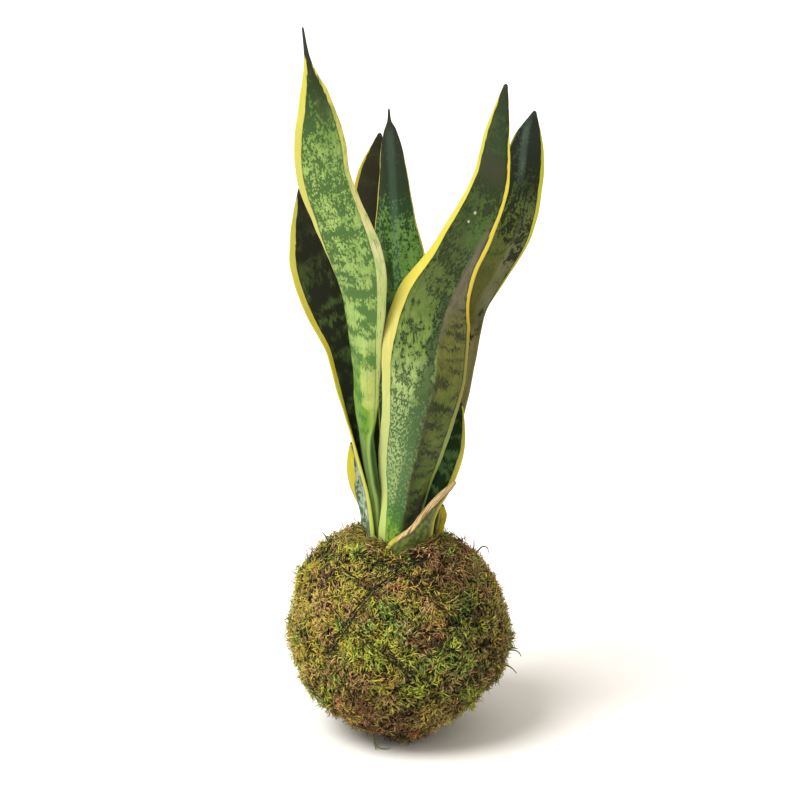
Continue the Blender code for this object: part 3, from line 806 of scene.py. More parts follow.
# %% Front left leaf
front_left_finish = leaf_finish(
    "front_left_leaf_finish", seed=11, worn=0.6, tip_start=0.945, band_size=1.25,
    # Low on the blade the darkest tones are partly painted shade
    ground=((0.0, 52, 78, 10), (0.1, 58, 86, 12), (0.18, 80, 112, 22), (0.26, 116, 146, 48),
        (0.33, 136, 168, 68), (0.42, 164, 192, 106), (0.55, 166, 196, 110), (0.75, 180, 208, 118),
        (0.82, 140, 172, 86), (0.88, 104, 132, 62), (0.93, 62, 80, 36)),
    bands=((0.0, 40, 68, 18), (0.15, 48, 84, 22), (0.3, 76, 122, 38), (0.45, 76, 112, 50),
        (0.76, 74, 108, 52), (0.84, 60, 90, 44), (0.9, 46, 62, 30), (0.96, 42, 50, 34)),
    amount=((0.0, 0.6), (0.25, 0.58), (0.34, 0.51), (0.5, 0.49), (0.7, 0.49), (0.8, 0.5),
        (0.9, 0.47)),
    dashes=((0.0, 0.1), (0.45, 0.15), (0.58, 0.45), (0.7, 0.65), (0.82, 0.7), (0.92, 0.4)),
    fine=((0.0, 0.0), (0.5, 0.15), (0.66, 0.42), (0.78, 0.42), (0.86, 0.2)),
    # Beyond the ridge, the dark strip low down is painted shade on the folded far side
    beyond=((0.0, 60, 84, 24), (0.11, 58, 84, 26), (0.15, 40, 64, 20), (0.28, 46, 74, 26),
        (0.312, 150, 170, 90), (0.38, 170, 182, 112), (0.46, 160, 188, 106), (0.75, 164, 194, 108),
        (0.82, 136, 168, 88), (0.88, 104, 132, 66), (0.93, 62, 80, 42)),
    margin_tones=((0.0, 120, 160, 66), (0.4, 160, 186, 96), (0.62, 202, 204, 110),
        (0.7, 210, 206, 108), (0.9, 208, 204, 86)),
    right_tones=((0.0, 60, 92, 36), (0.28, 76, 110, 44), (0.325, 178, 188, 104),
        (0.38, 176, 188, 108), (0.5, 174, 186, 112), (0.54, 184, 194, 122), (0.58, 212, 212, 156),
        (0.63, 212, 210, 148), (0.75, 206, 198, 108), (0.95, 206, 200, 92)),
    # The second and third patches paint shade on the left of the blade low down
    patches=((0.84, 0.925, 0.0, 6.0, tone(66, 60, 38), 0.75),
        (0.03, 0.25, -20.0, -5.0, tone(44, 68, 18), 0.8),
        (0.12, 0.24, -5.0, -2.4, tone(72, 112, 30), 0.6),
        (0.24, 0.4, -9.0, -3.0, tone(92, 144, 42), 0.5),
        (0.3, 0.38, -3.0, 5.0, tone(194, 202, 110), 0.65)),
    denser=((0.29, 0.37, -3.5, 5.0, -0.13),),
    # Painted highlights along the crease
    sheens_and_shadows=((0.08, 0.285, -0.95, -0.05, tone(176, 204, 112), 0.8),
        (0.31, 0.44, -0.9, -0.2, tone(176, 206, 116), 0.5)))
build_blade(
    "leaf_front_left", front_left_finish, thickness=(3.6, 1.0), wave=0.8, waves=4.0,
    phase=1.5,
    left=((240, 0), (266, 0.9), (282, 2.6), (300, 3.6), (330, 4.2), (345, 2.9), (358, 1.2),
        (362, 0)),
    right=((92, 0.3), (165, 0.5), (190, 1.2), (214, 3.0), (238, 4.6), (262, 4.8), (280, 3.4),
        (296, 2.4), (330, 2.3), (345, 1.7), (354, 0.8), (358, 0)),
    ridge=((92, 0.93), (120, 0.93), (130, 0.82), (138, 0.66), (156, 0.66), (164, 0.8), (172, 0.94),
        (179, 0.97), (181, 0.5), (190, 0.45), (214, 0.3), (230, 0.1)),
    ridge_strength=((92, 0.3), (150, 0.4), (166, 0.3), (174, 0.0), (184, 0.0), (194, 0.35),
        (210, 0.2), (240, 0.0)))

# %% Left leaf
left_finish = leaf_finish(
    "left_leaf_finish", seed=23, tip_start=0.97, softness=0.06,
    outer=(tone(200, 210, 178), tone(80, 104, 70)),
    ground=((0.0, 78, 104, 52), (0.4, 82, 108, 54), (0.7, 80, 100, 52), (0.86, 62, 70, 42),
        (0.95, 50, 50, 34)),
    bands=((0.0, 22, 28, 14), (0.5, 26, 34, 16), (0.9, 34, 36, 24)),
    amount=((0.0, 0.47), (1.0, 0.47)), dashes=((0.0, 0.25), (1.0, 0.35)),
    margin_tones=((0.0, 186, 202, 112), (0.2, 196, 202, 92), (0.3, 202, 198, 70),
        (0.6, 210, 196, 60), (0.95, 200, 198, 92)))
build_blade(
    "leaf_left", left_finish, thickness=(3.4, 1.0), wave=0.8, waves=3.0, phase=2.6,
    left=((92, 2.0), (160, 2.2), (200, 3.0), (230, 3.8), (262, 3.4), (278, 2.0), (286, 0)),
    right=((92, 1.5), (200, 2.0), (262, 2.0), (280, 0.8), (286, 0)))

# %% Back left leaf
back_left_finish = leaf_finish(
    "back_left_leaf_finish", seed=31, tip_start=0.985, softness=0.08,
    outer=(OUTER_GROUND, OUTER_BAND),
    ground=((0.0, 80, 94, 54), (0.5, 76, 80, 54), (0.85, 68, 70, 48)),
    bands=((0.0, 46, 54, 32), (0.6, 56, 54, 36), (1.0, 54, 52, 36)),
    amount=((0.0, 0.48), (1.0, 0.45)), dashes=((0.0, 0.2), (1.0, 0.2)),
    margin_tones=((0.0, *YELLOW), (1.0, *YELLOW)))
build_blade(
    "leaf_back_left", back_left_finish, thickness=(3.2, 1.0), wave=0.6, waves=3.0,
    phase=0.9,
    left=((92, 1.5), (260, 2.6), (290, 1.8), (304, 0.8), (309, 0)),
    right=((92, 1.5), (260, 2.0), (290, 1.2), (306, 0.5), (312, 0)))

# %% Back centre leaf
back_centre_finish = leaf_finish(
    "back_centre_leaf_finish", seed=43, tip_start=0.95, gloss=0.3,
    ground=((0.0, 128, 172, 92), (0.5, 128, 176, 88), (0.68, 124, 168, 82), (0.79, 104, 142, 74),
        (0.83, 70, 92, 58), (0.92, 62, 74, 54)),
    bands=((0.0, 46, 86, 34), (0.6, 46, 86, 34), (0.78, 40, 66, 34), (0.84, 42, 56, 36),
        (0.95, 46, 52, 42)),
    amount=((0.0, 0.5), (0.6, 0.5), (0.79, 0.5), (0.84, 0.42)), dashes=((0.0, 0.6), (1.0, 0.7)),
    fine=((0.0, 0.4), (1.0, 0.4)), patches=((0.78, 0.95, 3.2, 9.0, tone(48, 60, 36), 0.7),),
    # A painted reflection down the middle and another at the tip; between them, painted shadow that the
    # front left leaf casts on the left of the blade
    sheens_and_shadows=((0.62, 0.8, -1.8, 1.6, tone(112, 140, 122), 0.3),
        (0.4, 0.6, -16.0, 2.0, tone(34, 44, 18), 0.85),
        (0.6, 0.68, -16.0, -2.2, tone(38, 50, 20), 0.8),
        (0.68, 0.73, -16.0, -5.0, tone(44, 58, 26), 0.5),
        (0.8, 0.96, -2.4, 1.4, tone(84, 110, 92), 0.35)),
    margin_tones=((0.0, *YELLOW), (1.0, 190, 176, 84)))
build_blade(
    "leaf_back_centre", back_centre_finish, thickness=(3.4, 1.0), wave=0.6, waves=3.0,
    phase=3.0,
    left=((92, 1.0), (250, 0.7), (300, 0.5), (312, 0)),
    right=((92, 1.5), (230, 1.1), (280, 0.7), (300, 0.4), (312, 0)))

# %% Right leaf
right_finish = leaf_finish(
    "right_leaf_finish", seed=59, tip_start=0.985, gloss=0.32, outer=(OUTER_GROUND, OUTER_BAND),
    # Low on the blade, up to about half its length, the pale tones are painted light: they make up for
    # the shadow that the front right leaf casts there
    ground=((0.0, 156, 148, 90), (0.42, 158, 151, 96), (0.49, 152, 145, 90), (0.53, 96, 92, 46),
        (0.64, 90, 94, 42), (0.78, 92, 108, 48), (0.84, 70, 88, 44), (0.92, 60, 74, 54)),
    bands=((0.0, 44, 42, 22), (0.55, 44, 42, 20), (0.75, 32, 38, 18), (0.86, 28, 36, 22),
        (0.96, 34, 40, 34)),
    amount=((0.0, 0.64), (0.6, 0.63), (0.68, 0.55), (0.8, 0.5), (0.9, 0.46)),
    dashes=((0.0, 0.5), (0.6, 0.8), (0.75, 0.8), (1.0, 0.7)),
    fine=((0.0, 0.0), (0.72, 0.25), (0.82, 0.4), (1.0, 0.3)),
    # The same painted light low down beyond the ridge, and darker tones above it
    beyond=((0.0, 150, 142, 88), (0.42, 158, 151, 100), (0.49, 146, 140, 92), (0.53, 104, 100, 62),
        (0.6, 98, 98, 64), (0.7, 108, 110, 78), (0.78, 96, 106, 60), (0.84, 56, 64, 36),
        (0.96, 42, 46, 34)),
    # A painted blue-grey sheen near the tip and a painted paler strip along the fold
    sheens_and_shadows=((0.86, 0.985, -4.0, -0.6, tone(88, 112, 100), 0.42),
        (0.6, 0.78, -0.2, 1.6, tone(112, 110, 82), 0.35)),
    margin_tones=((0.0, *YELLOW), (0.7, 150, 160, 70), (1.0, 120, 138, 60)),
    right_tones=((0.0, *YELLOW), (0.62, 150, 146, 60), (0.7, 176, 172, 58), (0.85, 170, 170, 50),
        (1.0, 164, 170, 58)))
build_blade(
    "leaf_right", right_finish, thickness=(3.4, 1.0), wave=0.9, waves=3.5, phase=2.0,
    left=((92, 1.2), (250, 0.8), (296, 1.0), (312, 0.8), (320, 0)),
    right=((92, -1.0), (225, -1.0), (240, 0.5), (262, 1.1), (275, 1.8), (295, 2.0), (308, 1.4),
        (316, 0.7), (322, 0)),
    ridge=((92, 0.4), (220, 0.45), (249, 0.42), (270, 0.3), (290, 0.15), (325, 0.0)),
    ridge_strength=((92, 0.0), (215, 0.1), (240, 0.6), (270, 0.5), (300, 0.5), (325, 0.2)))

# %% Short leaves and the stub
short_right_finish = leaf_finish(
    "short_right_leaf_finish", seed=67, tip_start=0.985, band_size=1.3,
    outer=(OUTER_GROUND, OUTER_BAND),
    ground=((0.0, 84, 122, 66), (0.5, 94, 134, 78), (0.9, 84, 108, 58)),
    bands=((0.0, 30, 54, 26), (0.6, 32, 58, 32), (1.0, 34, 50, 28)),
    amount=((0.0, 0.48), (1.0, 0.48)), dashes=((0.0, 0.15), (1.0, 0.2)),
    margin_tones=((0.0, *YELLOW), (1.0, 206, 200, 92)))
build_blade(
    "leaf_short_right", short_right_finish, thickness=(2.8, 1.0), wave=0.5, waves=2.0,
    phase=1.0, count=80,
    left=((92, 0.8), (150, 0.8), (170, 0.5), (177, 0)),
    right=((92, 1.5), (130, 2.8), (150, 3.0), (165, 1.8), (177, 0.5)))
short_left_finish = leaf_finish(
    "short_left_leaf_finish", seed=71, tip_start=0.985, band_size=1.4,
    outer=(tone(178, 192, 160), tone(66, 92, 66)),
    ground=((0.0, 192, 206, 184), (0.6, 190, 204, 180), (1.0, 130, 150, 112)),
    bands=((0.0, 76, 104, 78), (0.5, 70, 98, 74), (1.0, 60, 80, 56)),
    amount=((0.0, 0.5), (1.0, 0.5)), dashes=((0.0, 0.6), (1.0, 0.6)),
    margin_tones=((0.0, 186, 178, 42), (1.0, 190, 180, 46)))
build_blade(
    "leaf_short_left", short_left_finish, thickness=(2.4, 1.0), wave=0.3, waves=1.5,
    phase=0.0, count=60,
    left=((92, 0.0), (119, 0.0), (126, 3.2), (136, 6.6), (148, 4.6), (152, 1.5)),
    right=((92, 0.2), (140, 0.4), (150, 0.3)))
stub_finish = leaf_finish(
    "stub_finish", seed=79, tip_start=0.99, outer=(tone(164, 148, 28), tone(130, 120, 28)),
    ground=((0.0, 190, 170, 34), (1.0, 206, 184, 40)),
    bands=((0.0, 156, 142, 32), (1.0, 164, 148, 34)), amount=((0.0, 0.55), (1.0, 0.55)),
    dashes=((0.0, 0.4), (1.0, 0.4)), margin_tones=((0.0, 196, 178, 50), (1.0, 196, 178, 50)))
build_blade(
    "leaf_stub", stub_finish, thickness=(2.0, 1.0), wave=0.0, waves=1.0, phase=0.0,
    count=40,
    left=((92, 0.6), (118, 0.6)), right=((92, 0.6), (118, 0.6)))

# %% [markdown]
# ## The dry bract
# A short sheath leaf wraps the right front of the base. Its upper edge has died back: it is
# tan, papery and rolled over, while the body below is still mottled green. It is lofted like
# the leaves, with the left edge curled forward over itself.

# %% Bract finish
# How much of the width, from the left edge, has dried at each place along the bract
DRY_SHARE = ((0.0, 0.09), (0.25, 0.16), (0.5, 0.31), (0.7, 0.46), (0.85, 0.66), (1.0, 1.0))


def bract_finish():
    paint = LeafPaint("bract_finish", 5, roughness=0.65)
    edge = paint.attribute("share_across")
    fibre = paint.streaks(2.6, 0.10, 0, detail=4, roughness=0.7)
    blotch = paint.streaks(0.45, 0.30, 9, detail=3, roughness=0.6)
    green = paint.mix(paint.step(blotch, 0.40, 0.62), tone(68, 76, 28), tone(106, 122, 44))
    green = paint.mix(paint.step(fibre, 0.58, 0.72) * 0.4, green, tone(140, 138, 62))
    dry = paint.mix(paint.step(fibre, 0.38, 0.58), tone(124, 88, 50), tone(224, 198, 142))
    dry = paint.mix(paint.step(blotch, 0.58, 0.72) * 0.4, dry, tone(108, 78, 48))
    low = paint.mix(paint.step(fibre, 0.3, 0.7), tone(176, 170, 50), tone(208, 200, 84))
    dry = paint.mix(paint.step(paint.along, 0.22, 0.36), low, dry)
    reach = paint.level(paint.along, DRY_SHARE) * 2 - 1 - edge + (fibre - 0.5) * 0.3
    wither = paint.step(reach, -0.06, 0.08)
    rim = paint.step(reach, -0.24, -0.04) * (1 - wither)
    colour = paint.mix(rim * 0.7, green, tone(74, 58, 30))
    colour = paint.mix(wither, colour, dry)
    paint.set(Base_Color=colour, Roughness=0.45 + wither * 0.3, Specular_IOR_Level=0.25)
    paint.bump(fibre + blotch * 0.4, 0.35 * MM, 0.9)
    return paint.material


# %% Bract
build_blade(
    "dry_bract", bract_finish(), thickness=(1.6, 0.7), wave=0.5, waves=2.0, phase=0.6,
    left=(), right=(), count=90,
    curl=((92, 0), (105, -60), (118, -150), (140, -200)))


# %% [markdown]
# ## The moss ball's form
# The moss is pressed on by hand, so the ball has swellings and dents. The same sum of soft
# bumps that shapes the CAD solid gives the distance from the ball's centre in any direction.
# Loose moss changes that by about five millimetres either way: mounds beside the leaves, a
# full shoulder on the left, hollows between them, and lumps all over.

# %% Form of the ball
BALL_CENTRE = np.array((0, 0, 54.0))
MOSS_RADIUS = 56.5
CAVITY_RADIUS = 48.3
# Azimuth, elevation, spread in degrees and height in millimetres
MOSS_SWELLINGS = (
    (180, 40, 22, 3.0),
    (180, -25, 20, 1.8),
    (195, -55, 20, -1.6),
    (0, 55, 18, 2.0),
    (0, 18, 18, -1.6),
    (0, -50, 30, -5.4),
    (255, 20, 24, 1.6),
    (300, -28, 22, 1.2),
    (80, 30, 24, 1.8),
    (120, -20, 26, -1.4),
    (45, -5, 22, 1.4),
)
LOOSE_MOUNDS = (
    (166, 42, 17, 1.8),
    (157, 61, 12, 3.4),
    (24, 56, 11, -3.6),
    (8, 66, 7, -1.8),
    (238, 62, 10, 1.4),
    (215, -62, 22, -3.0),
    (330, -48, 20, -3.0),
    (262, 57, 7, -3.6),
    (291, 63, 7.5, 4.4),
    (305, 59, 8, 2.4),
    (283, -63, 5.5, 2.8),
    (300, -58, 9, -1.4),
    (264, -74, 13, -2.4),
    (5, 28, 15, -2.0),
    (0, 56, 10, -2.8),
    (180, 62, 10, -2.0),
    (180, 24, 6, -2.0),
    (180, -30, 14, -3.4),
    (176, 32, 7, 1.6),
    (358, -2, 7, 1.8),
    (236, 60, 7, 1.6),
    (222, 55, 5, 1.6),
)
MOUTH_CENTRE_Y = -3.0
MOUTH_HALF_LENGTH = 28.0
MOUTH_HALF_WIDTH = 22.5


def toward(azimuth, elevation):
    """Unit vector from angles in degrees."""
    azimuth, elevation = np.radians(azimuth), np.radians(elevation)
    return np.stack([np.cos(elevation) * np.cos(azimuth), np.cos(elevation) * np.sin(azimuth),
                     np.sin(elevation) + 0 * azimuth], axis=-1)


def swell(directions, bumps):
    height = np.zeros(directions.shape[:-1])
    for azimuth, elevation, spread, rise in bumps:
        cosine = np.clip(directions @ toward(azimuth, elevation), -1, 1)
        height = height + rise * np.exp(-(np.arccos(cosine) / radians(spread)) ** 2)
    return height


def field(directions, scale, seed):
    """Smooth noise over the ball, from about -0.6 to 0.6."""
    shift = Vector((seed * 13.7, seed * -7.3, seed * 3.1))
    flat = directions.reshape(-1, 3) * scale
    values = [noise.noise(Vector(row) + shift) for row in flat.tolist()]
    return np.array(values).reshape(directions.shape[:-1])


def moss_radius(directions):
    """Distance from the ball's centre to the pressed moss, with its lumps."""
    lumps = field(directions, 5, 1) * 2.2 + field(directions, 13, 2) * 1.2
    return MOSS_RADIUS + swell(directions, MOSS_SWELLINGS) + swell(directions, LOOSE_MOUNDS) + lumps


# %% [markdown]
# ## The thread's course
# Thin black cotton holds the moss on. It is wound in tilted hoops and a few times round the
# neck, two or three strands side by side. Each strand is a circle on the ball that wanders a
# little. It is laid out before the moss grows, because the moss under it is pressed down.

# %% Course of the thread
HOOP_COUNT = 7
HOOP_TILTS = (46, 55)
NECK_POLAR_ANGLE = 31.6
NECK_AXIS = (195, 85)
NECK_STRANDS = 3
# Two directions on the ball that each front strand passes through, as azimuth and elevation
FRONT_STRANDS = (
    ((280, 53.5), (239, 17.5)),
    ((272, 55.5), (241, 19)),
    ((244.7, 18.4), (276, -2)),
    ((267.8, 29), (287, 13.6)),
    ((287.7, 36), (300.6, 18.6)),
)
STRAND_SPREAD = 1.9
WANDER = radians(2.2)
WANDER_SCALE = 2.5
GROOVE_WIDTH = 0.6
GROOVE_REACH = radians(6)
NECK_STEP = 1.3
# Heights in millimetres over the pressed moss: away from the front, and for each kind there
SUNK_LIFT = 0.1
HOOP_LIFT = 1.3
FRONT_LIFT = 3.4
NECK_LIFT = 1.9

# Each strand is an axis, the angle from it, the seed of its wandering and its lift in front
strands = []


def lay_pair(axis, seed, lift):
    """Two strands side by side, round the widest circle about an axis."""
    for side in (-0.5, 0.5):
        strands.append((axis, pi / 2 + radians(STRAND_SPREAD * side), seed, lift))


for index in range(HOOP_COUNT):
    tilt = HOOP_TILTS[index % len(HOOP_TILTS)]
    lay_pair(toward(360 * index / HOOP_COUNT, 90 - tilt), 60 + 3 * index, HOOP_LIFT)
for index, (first, second) in enumerate(FRONT_STRANDS):
    axis = np.cross(toward(*first), toward(*second))
    lay_pair(axis / np.linalg.norm(axis), 90 + 3 * index, FRONT_LIFT)
for turn in range(NECK_STRANDS):
    strands.append((toward(*NECK_AXIS), radians(NECK_POLAR_ANGLE + NECK_STEP * turn), 120 + turn,
                    NECK_LIFT))
print("thread:", len(strands), "strands")


def pressed(ways):
    """How far the thread holds the moss down in each direction, from 0 to 1."""
    hold = np.zeros(len(ways))
    for axis, polar, seed, lift in strands:
        rise = ways @ axis
        away = np.arccos(np.clip(rise, -1, 1)) - polar
        near = np.nonzero(np.abs(away) < GROOVE_REACH)[0]
        circle = ways[near] - rise[near][:, None] * axis
        circle /= np.linalg.norm(circle, axis=1)[:, None]
        gap = (away[near] - WANDER * field(circle, WANDER_SCALE, seed)) * MOSS_RADIUS
        hold[near] = np.maximum(hold[near], np.exp(-(gap / GROOVE_WIDTH) ** 2))
    return hold


# %% [markdown]
# ## The moss mat
# Under the shoots lies a felt of old stems and soil, which shows as dark gaps. It is a thick
# shell with the mouth at its top, lumpy outside and smooth where it lies on the soil. Its
# rings start at the mouth's rim, run down outside to the underside, and come back up inside.

# %% Mat finish
def mat_finish():
    paint = Paint("moss_mat_finish", roughness=0.95)
    place = paint.place()
    fine = paint.noise(place, scale=900, detail=4, roughness=0.7)
    broad = paint.noise(place, scale=90, detail=3)
    colour = paint.mix(paint.step(fine, 0.35, 0.65), tone(34, 30, 14), tone(88, 80, 34))
    colour = paint.mix(paint.step(broad, 0.4, 0.6) * 0.6, colour, tone(60, 42, 24))
    paint.set(Base_Color=colour, Roughness=0.8 + fine * 0.2, Specular_IOR_Level=0.1)
    paint.bump(fine, 0.8 * MM)
    return paint.material


# %% Mat
MAT_TURNS = 240
MAT_RINGS = 120
MAT_INNER_RINGS = 24
MAT_SINK = 1.9
MAT_END = pi - 0.02
FLOOR_GAP = 0.25

# How far out each ray from the ball's axis meets the oval mouth, from a quadratic equation
turn = np.linspace(0, 2 * pi, MAT_TURNS, endpoint=False)
ray = np.stack([np.cos(turn), np.sin(turn)], axis=1)
a = (ray[:, 0] / MOUTH_HALF_LENGTH) ** 2 + (ray[:, 1] / MOUTH_HALF_WIDTH) ** 2
b = -2 * ray[:, 1] * MOUTH_CENTRE_Y / MOUTH_HALF_WIDTH ** 2
c = (MOUTH_CENTRE_Y / MOUTH_HALF_WIDTH) ** 2 - 1
mouth_reach = (-b + np.sqrt(b * b - 4 * a * c)) / (2 * a)
rim_angle = np.arcsin(mouth_reach / MOSS_RADIUS)
inner_angle = np.arcsin(mouth_reach / CAVITY_RADIUS)


def shell_rings(start, stop, count):
    polar = start[None, :] + (stop - start[None, :]) * np.linspace(0, 1, count)[:, None]
    flat = np.sin(polar)
    return np.stack([flat * ray[:, 0], flat * ray[:, 1], np.cos(polar)], axis=-1)


outer_ways = shell_rings(rim_angle, MAT_END, MAT_RINGS)
outer = BALL_CENTRE + outer_ways * (moss_radius(outer_ways) - MAT_SINK)[..., None]
outer[..., 2] = np.maximum(outer[..., 2], FLOOR_GAP)
inner = BALL_CENTRE + shell_rings(inner_angle, MAT_END, MAT_INNER_RINGS)[::-1] * CAVITY_RADIUS
rings = np.concatenate([outer, inner])
count = len(rings)
grid = np.arange(count * MAT_TURNS).reshape(count, MAT_TURNS)
after = np.roll(grid, -1, axis=1)
closing = np.concatenate([np.arange(count), [0]])
quads = np.stack(
    [grid[closing[:-1]], after[closing[:-1]], after[closing[1:]], grid[closing[1:]]],
    axis=-1)
keep = [row for row in range(count) if row != MAT_RINGS - 1]
caps = [grid[MAT_RINGS - 1][None, ::-1], grid[MAT_RINGS][None, :]]
mat_faces = [quads[keep].reshape(-1, 4)] + caps
mat_points = rings.reshape(-1, 3) * MM
solid("moss_mat", mat_points, faces_outward(mat_points, mat_faces), mat_finish(),
      ["moss_wrap"])


# %% [markdown]
# ## Moss shoots
# Sheet moss is a tangle of thin curved shoots, most of them lying nearly flat. Each one here
# is a slender three-sided spike on a path that leaves the mat, bends over and turns aside. Some
# carry two rows of leaflets, which give moss its feathery look. Growing them all in whole
# arrays keeps thousands of them quick to make.

# %% Shoots that clear the leaves
# Only shoots nearer to the axis and higher than this, in millimetres, can meet a leaf
LEAF_REACH = 40
LEAF_HEIGHT = 80
LEAF_TREES = [
    BVHTree.FromPolygons([vertex.co for vertex in piece.data.vertices],
                         [tuple(face.vertices) for face in piece.data.polygons])
    for piece in scene.objects if piece.name.endswith("_blade")]


def clears_leaves(paths):
    """For each path in millimetres, whether it crosses no leaf."""
    clear = np.ones(len(paths), dtype=bool)
    reach = np.linalg.norm(paths[:, 0, :2], axis=1)
    close = np.nonzero((reach < LEAF_REACH) & (paths[:, -1, 2] > LEAF_HEIGHT))[0]
    for index in close:
        path = [Vector(point) * MM for point in paths[index].tolist()]
        for start, end in zip(path, path[1:]):
            step = end - start
            if any(tree.ray_cast(start, step.normalized(), step.length)[0] for tree in LEAF_TREES):
                clear[index] = False
                break
    return clear


# %% Shoot builder
SHOOT_TAPER = (0.8, 1.0, 0.7)
SHOOT_FLATNESS = 0.6
LOWEST_MOSS = 0.4
LEAFLET_PAIRS = 5
LEAFLET_LENGTH = 1.1
LEAFLET_RADIUS = 0.19
LEAFLET_SHRINK = 0.45
# How much a leaflet points forward, aside and up
LEAFLET_WAY = (0.72, 0.62, 0.28)


def unit(vectors):
    return vectors / (np.linalg.norm(vectors, axis=-1, keepdims=True) + 1e-9)


def shoot_paths(roots, normals, heading, lean, droop, curl, length):
    """Four points along each shoot, and the three ways between them."""
    beside = np.cross(normals, heading)
    path = [roots]
    ways = []
    for step in range(3):
        share = (step + 0.5) / 3
        tilt = (lean - droop * share)[:, None]
        swing = (curl * share)[:, None]
        way = (np.cos(tilt) * (np.cos(swing) * heading + np.sin(swing) * beside)
               + np.sin(tilt) * normals)
        ways.append(way)
        path.append(path[-1] + way * length[:, None] / 3)
    return np.stack(path, axis=1), np.stack(ways, axis=1)


def three_corners(middle, way, normals, reach, roll):
    """Three points round a middle, on a flat triangle across the way."""
    flat = unit(np.cross(way, normals))
    upright = np.cross(flat, way)
    corners = []
    for corner in range(3):
        turn = roll + corner * 2 * pi / 3
        corners.append(middle + flat * (reach * np.cos(turn))[:, None]
                       + upright * (reach * np.sin(turn) * SHOOT_FLATNESS)[:, None])
    return corners


def grow_shoots(name, path, ways, normals, radius, tint, finish, roll, leaflets=False):
    """One piece of many shoots: for each, three rings of three points and a tip."""
    count = len(path)
    path = path.copy()
    path[..., 2] = np.maximum(path[..., 2], LOWEST_MOSS)
    points = []
    for ring in range(3):
        points += three_corners(path[:, ring], ways[:, ring], normals, radius * SHOOT_TAPER[ring], roll)
    points.append(path[:, 3])
    rise = [0, 0, 0, 0.33, 0.33, 0.33, 0.67, 0.67, 0.67, 1.0]
    column = [0, 1, 2] * 3 + [1]
    quads = [(3 * r + c, 3 * r + (c + 1) % 3, 3 * r + 3 + (c + 1) % 3, 3 * r + 3 + c)
             for r in range(2) for c in range(3)]
    spikes = [(6 + c, 6 + (c + 1) % 3, 9) for c in range(3)] + [(2, 1, 0)]
    ahead, beside, above = LEAFLET_WAY
    for pair in range(LEAFLET_PAIRS if leaflets else 0):
        share = (pair + 0.8) / (LEAFLET_PAIRS + 0.6)
        part = min(int(share * 3), 2)
        within = share * 3 - part
        root = path[:, part] * (1 - within) + path[:, part + 1] * within
        flat = unit(np.cross(ways[:, part], normals))
        for side in (-1, 1):
            way = unit(ways[:, part] * ahead + flat * beside * side + normals * above)
            first = len(points)
            points += three_corners(root, way, normals, np.full(count, LEAFLET_RADIUS), roll)
            points.append(root + way * LEAFLET_LENGTH * (1 - LEAFLET_SHRINK * share))
            rise += [share, share, share, min(share + 0.3, 1.0)]
            column += [0, 1, 2, 1]
            spikes += [(first + c, first + (c + 1) % 3, first + 3) for c in range(3)]
            spikes.append((first + 2, first + 1, first))
    points = np.stack(points, axis=1)
    points[..., 2] = np.maximum(points[..., 2], FLOOR_GAP)
    size = points.shape[1]
    offset = (np.arange(count) * size)[:, None, None]
    faces = [(np.array(quads)[None] + offset).reshape(-1, 4),
             (np.array(spikes)[None] + offset).reshape(-1, 3)]
    points = points.reshape(-1, 3) * MM
    piece = solid(name, points, faces_outward(points, faces), finish, ["moss_wrap"])
    rise, column = np.array(rise), np.array(column)
    write_attribute(piece, "rise", "FLOAT", np.tile(rise, count))
    colours = np.concatenate([tint, np.ones((count, 1))], axis=1)
    write_attribute(piece, "tint", "FLOAT_COLOR", np.repeat(colours, size, axis=0))
    side = int(np.ceil(sqrt(count)))
    corner = np.empty(len(piece.data.loops), dtype=np.int32)
    piece.data.loops.foreach_get("vertex_index", corner)
    shoot, local = corner // size, corner % size
    write_map(piece, np.stack([(shoot % side + 0.2 + 0.3 * column[local]) / side,
                               (shoot // side + 0.15 + 0.7 * rise[local]) / side], axis=1))
    return piece


# %% [markdown]
# ## Colours of the moss
# Living tips are yellow-green, older shoots olive and gold, and where the moss dried out or
# was pressed it is brown, rust or almost black. They don't mix evenly: patches a finger wide
# lean to one colour. Soft noise gives each colour its own regions, and a short list adds the
# patches that the picture shows on the front.

# %% Moss tints
MOSS_TONES = {
    "gold": tone(196, 177, 78),
    "lime": tone(172, 181, 68),
    "olive": tone(156, 146, 82),
    "green": tone(128, 156, 74),
    "deep": tone(78, 104, 46),
    "brown": tone(152, 118, 78),
    "rust": tone(178, 118, 84),
    "tan": tone(218, 180, 124),
    "umber": tone(76, 56, 50),
}
TONE_SHARES = (0.20, 0.22, 0.19, 0.11, 0.04, 0.13, 0.02, 0.05, 0.04)
# The shoots shade each other, so their own colours are brighter than the picture's
MOSS_BRIGHTNESS = 1.1
BRIGHTEST_SHOOT = 0.72
# Painted light on the moss: brighter at the upper left, where the window light falls, with painted shade
# on the right, and darker at the lower left. Azimuth, elevation, spread in degrees and change of
# brightness
MOSS_PAINTED_LIGHT_AND_SHADE = (
    (215, 38, 40, 0.60),
    (325, 12, 42, -0.14),
    (258, -48, 22, -0.22),
)
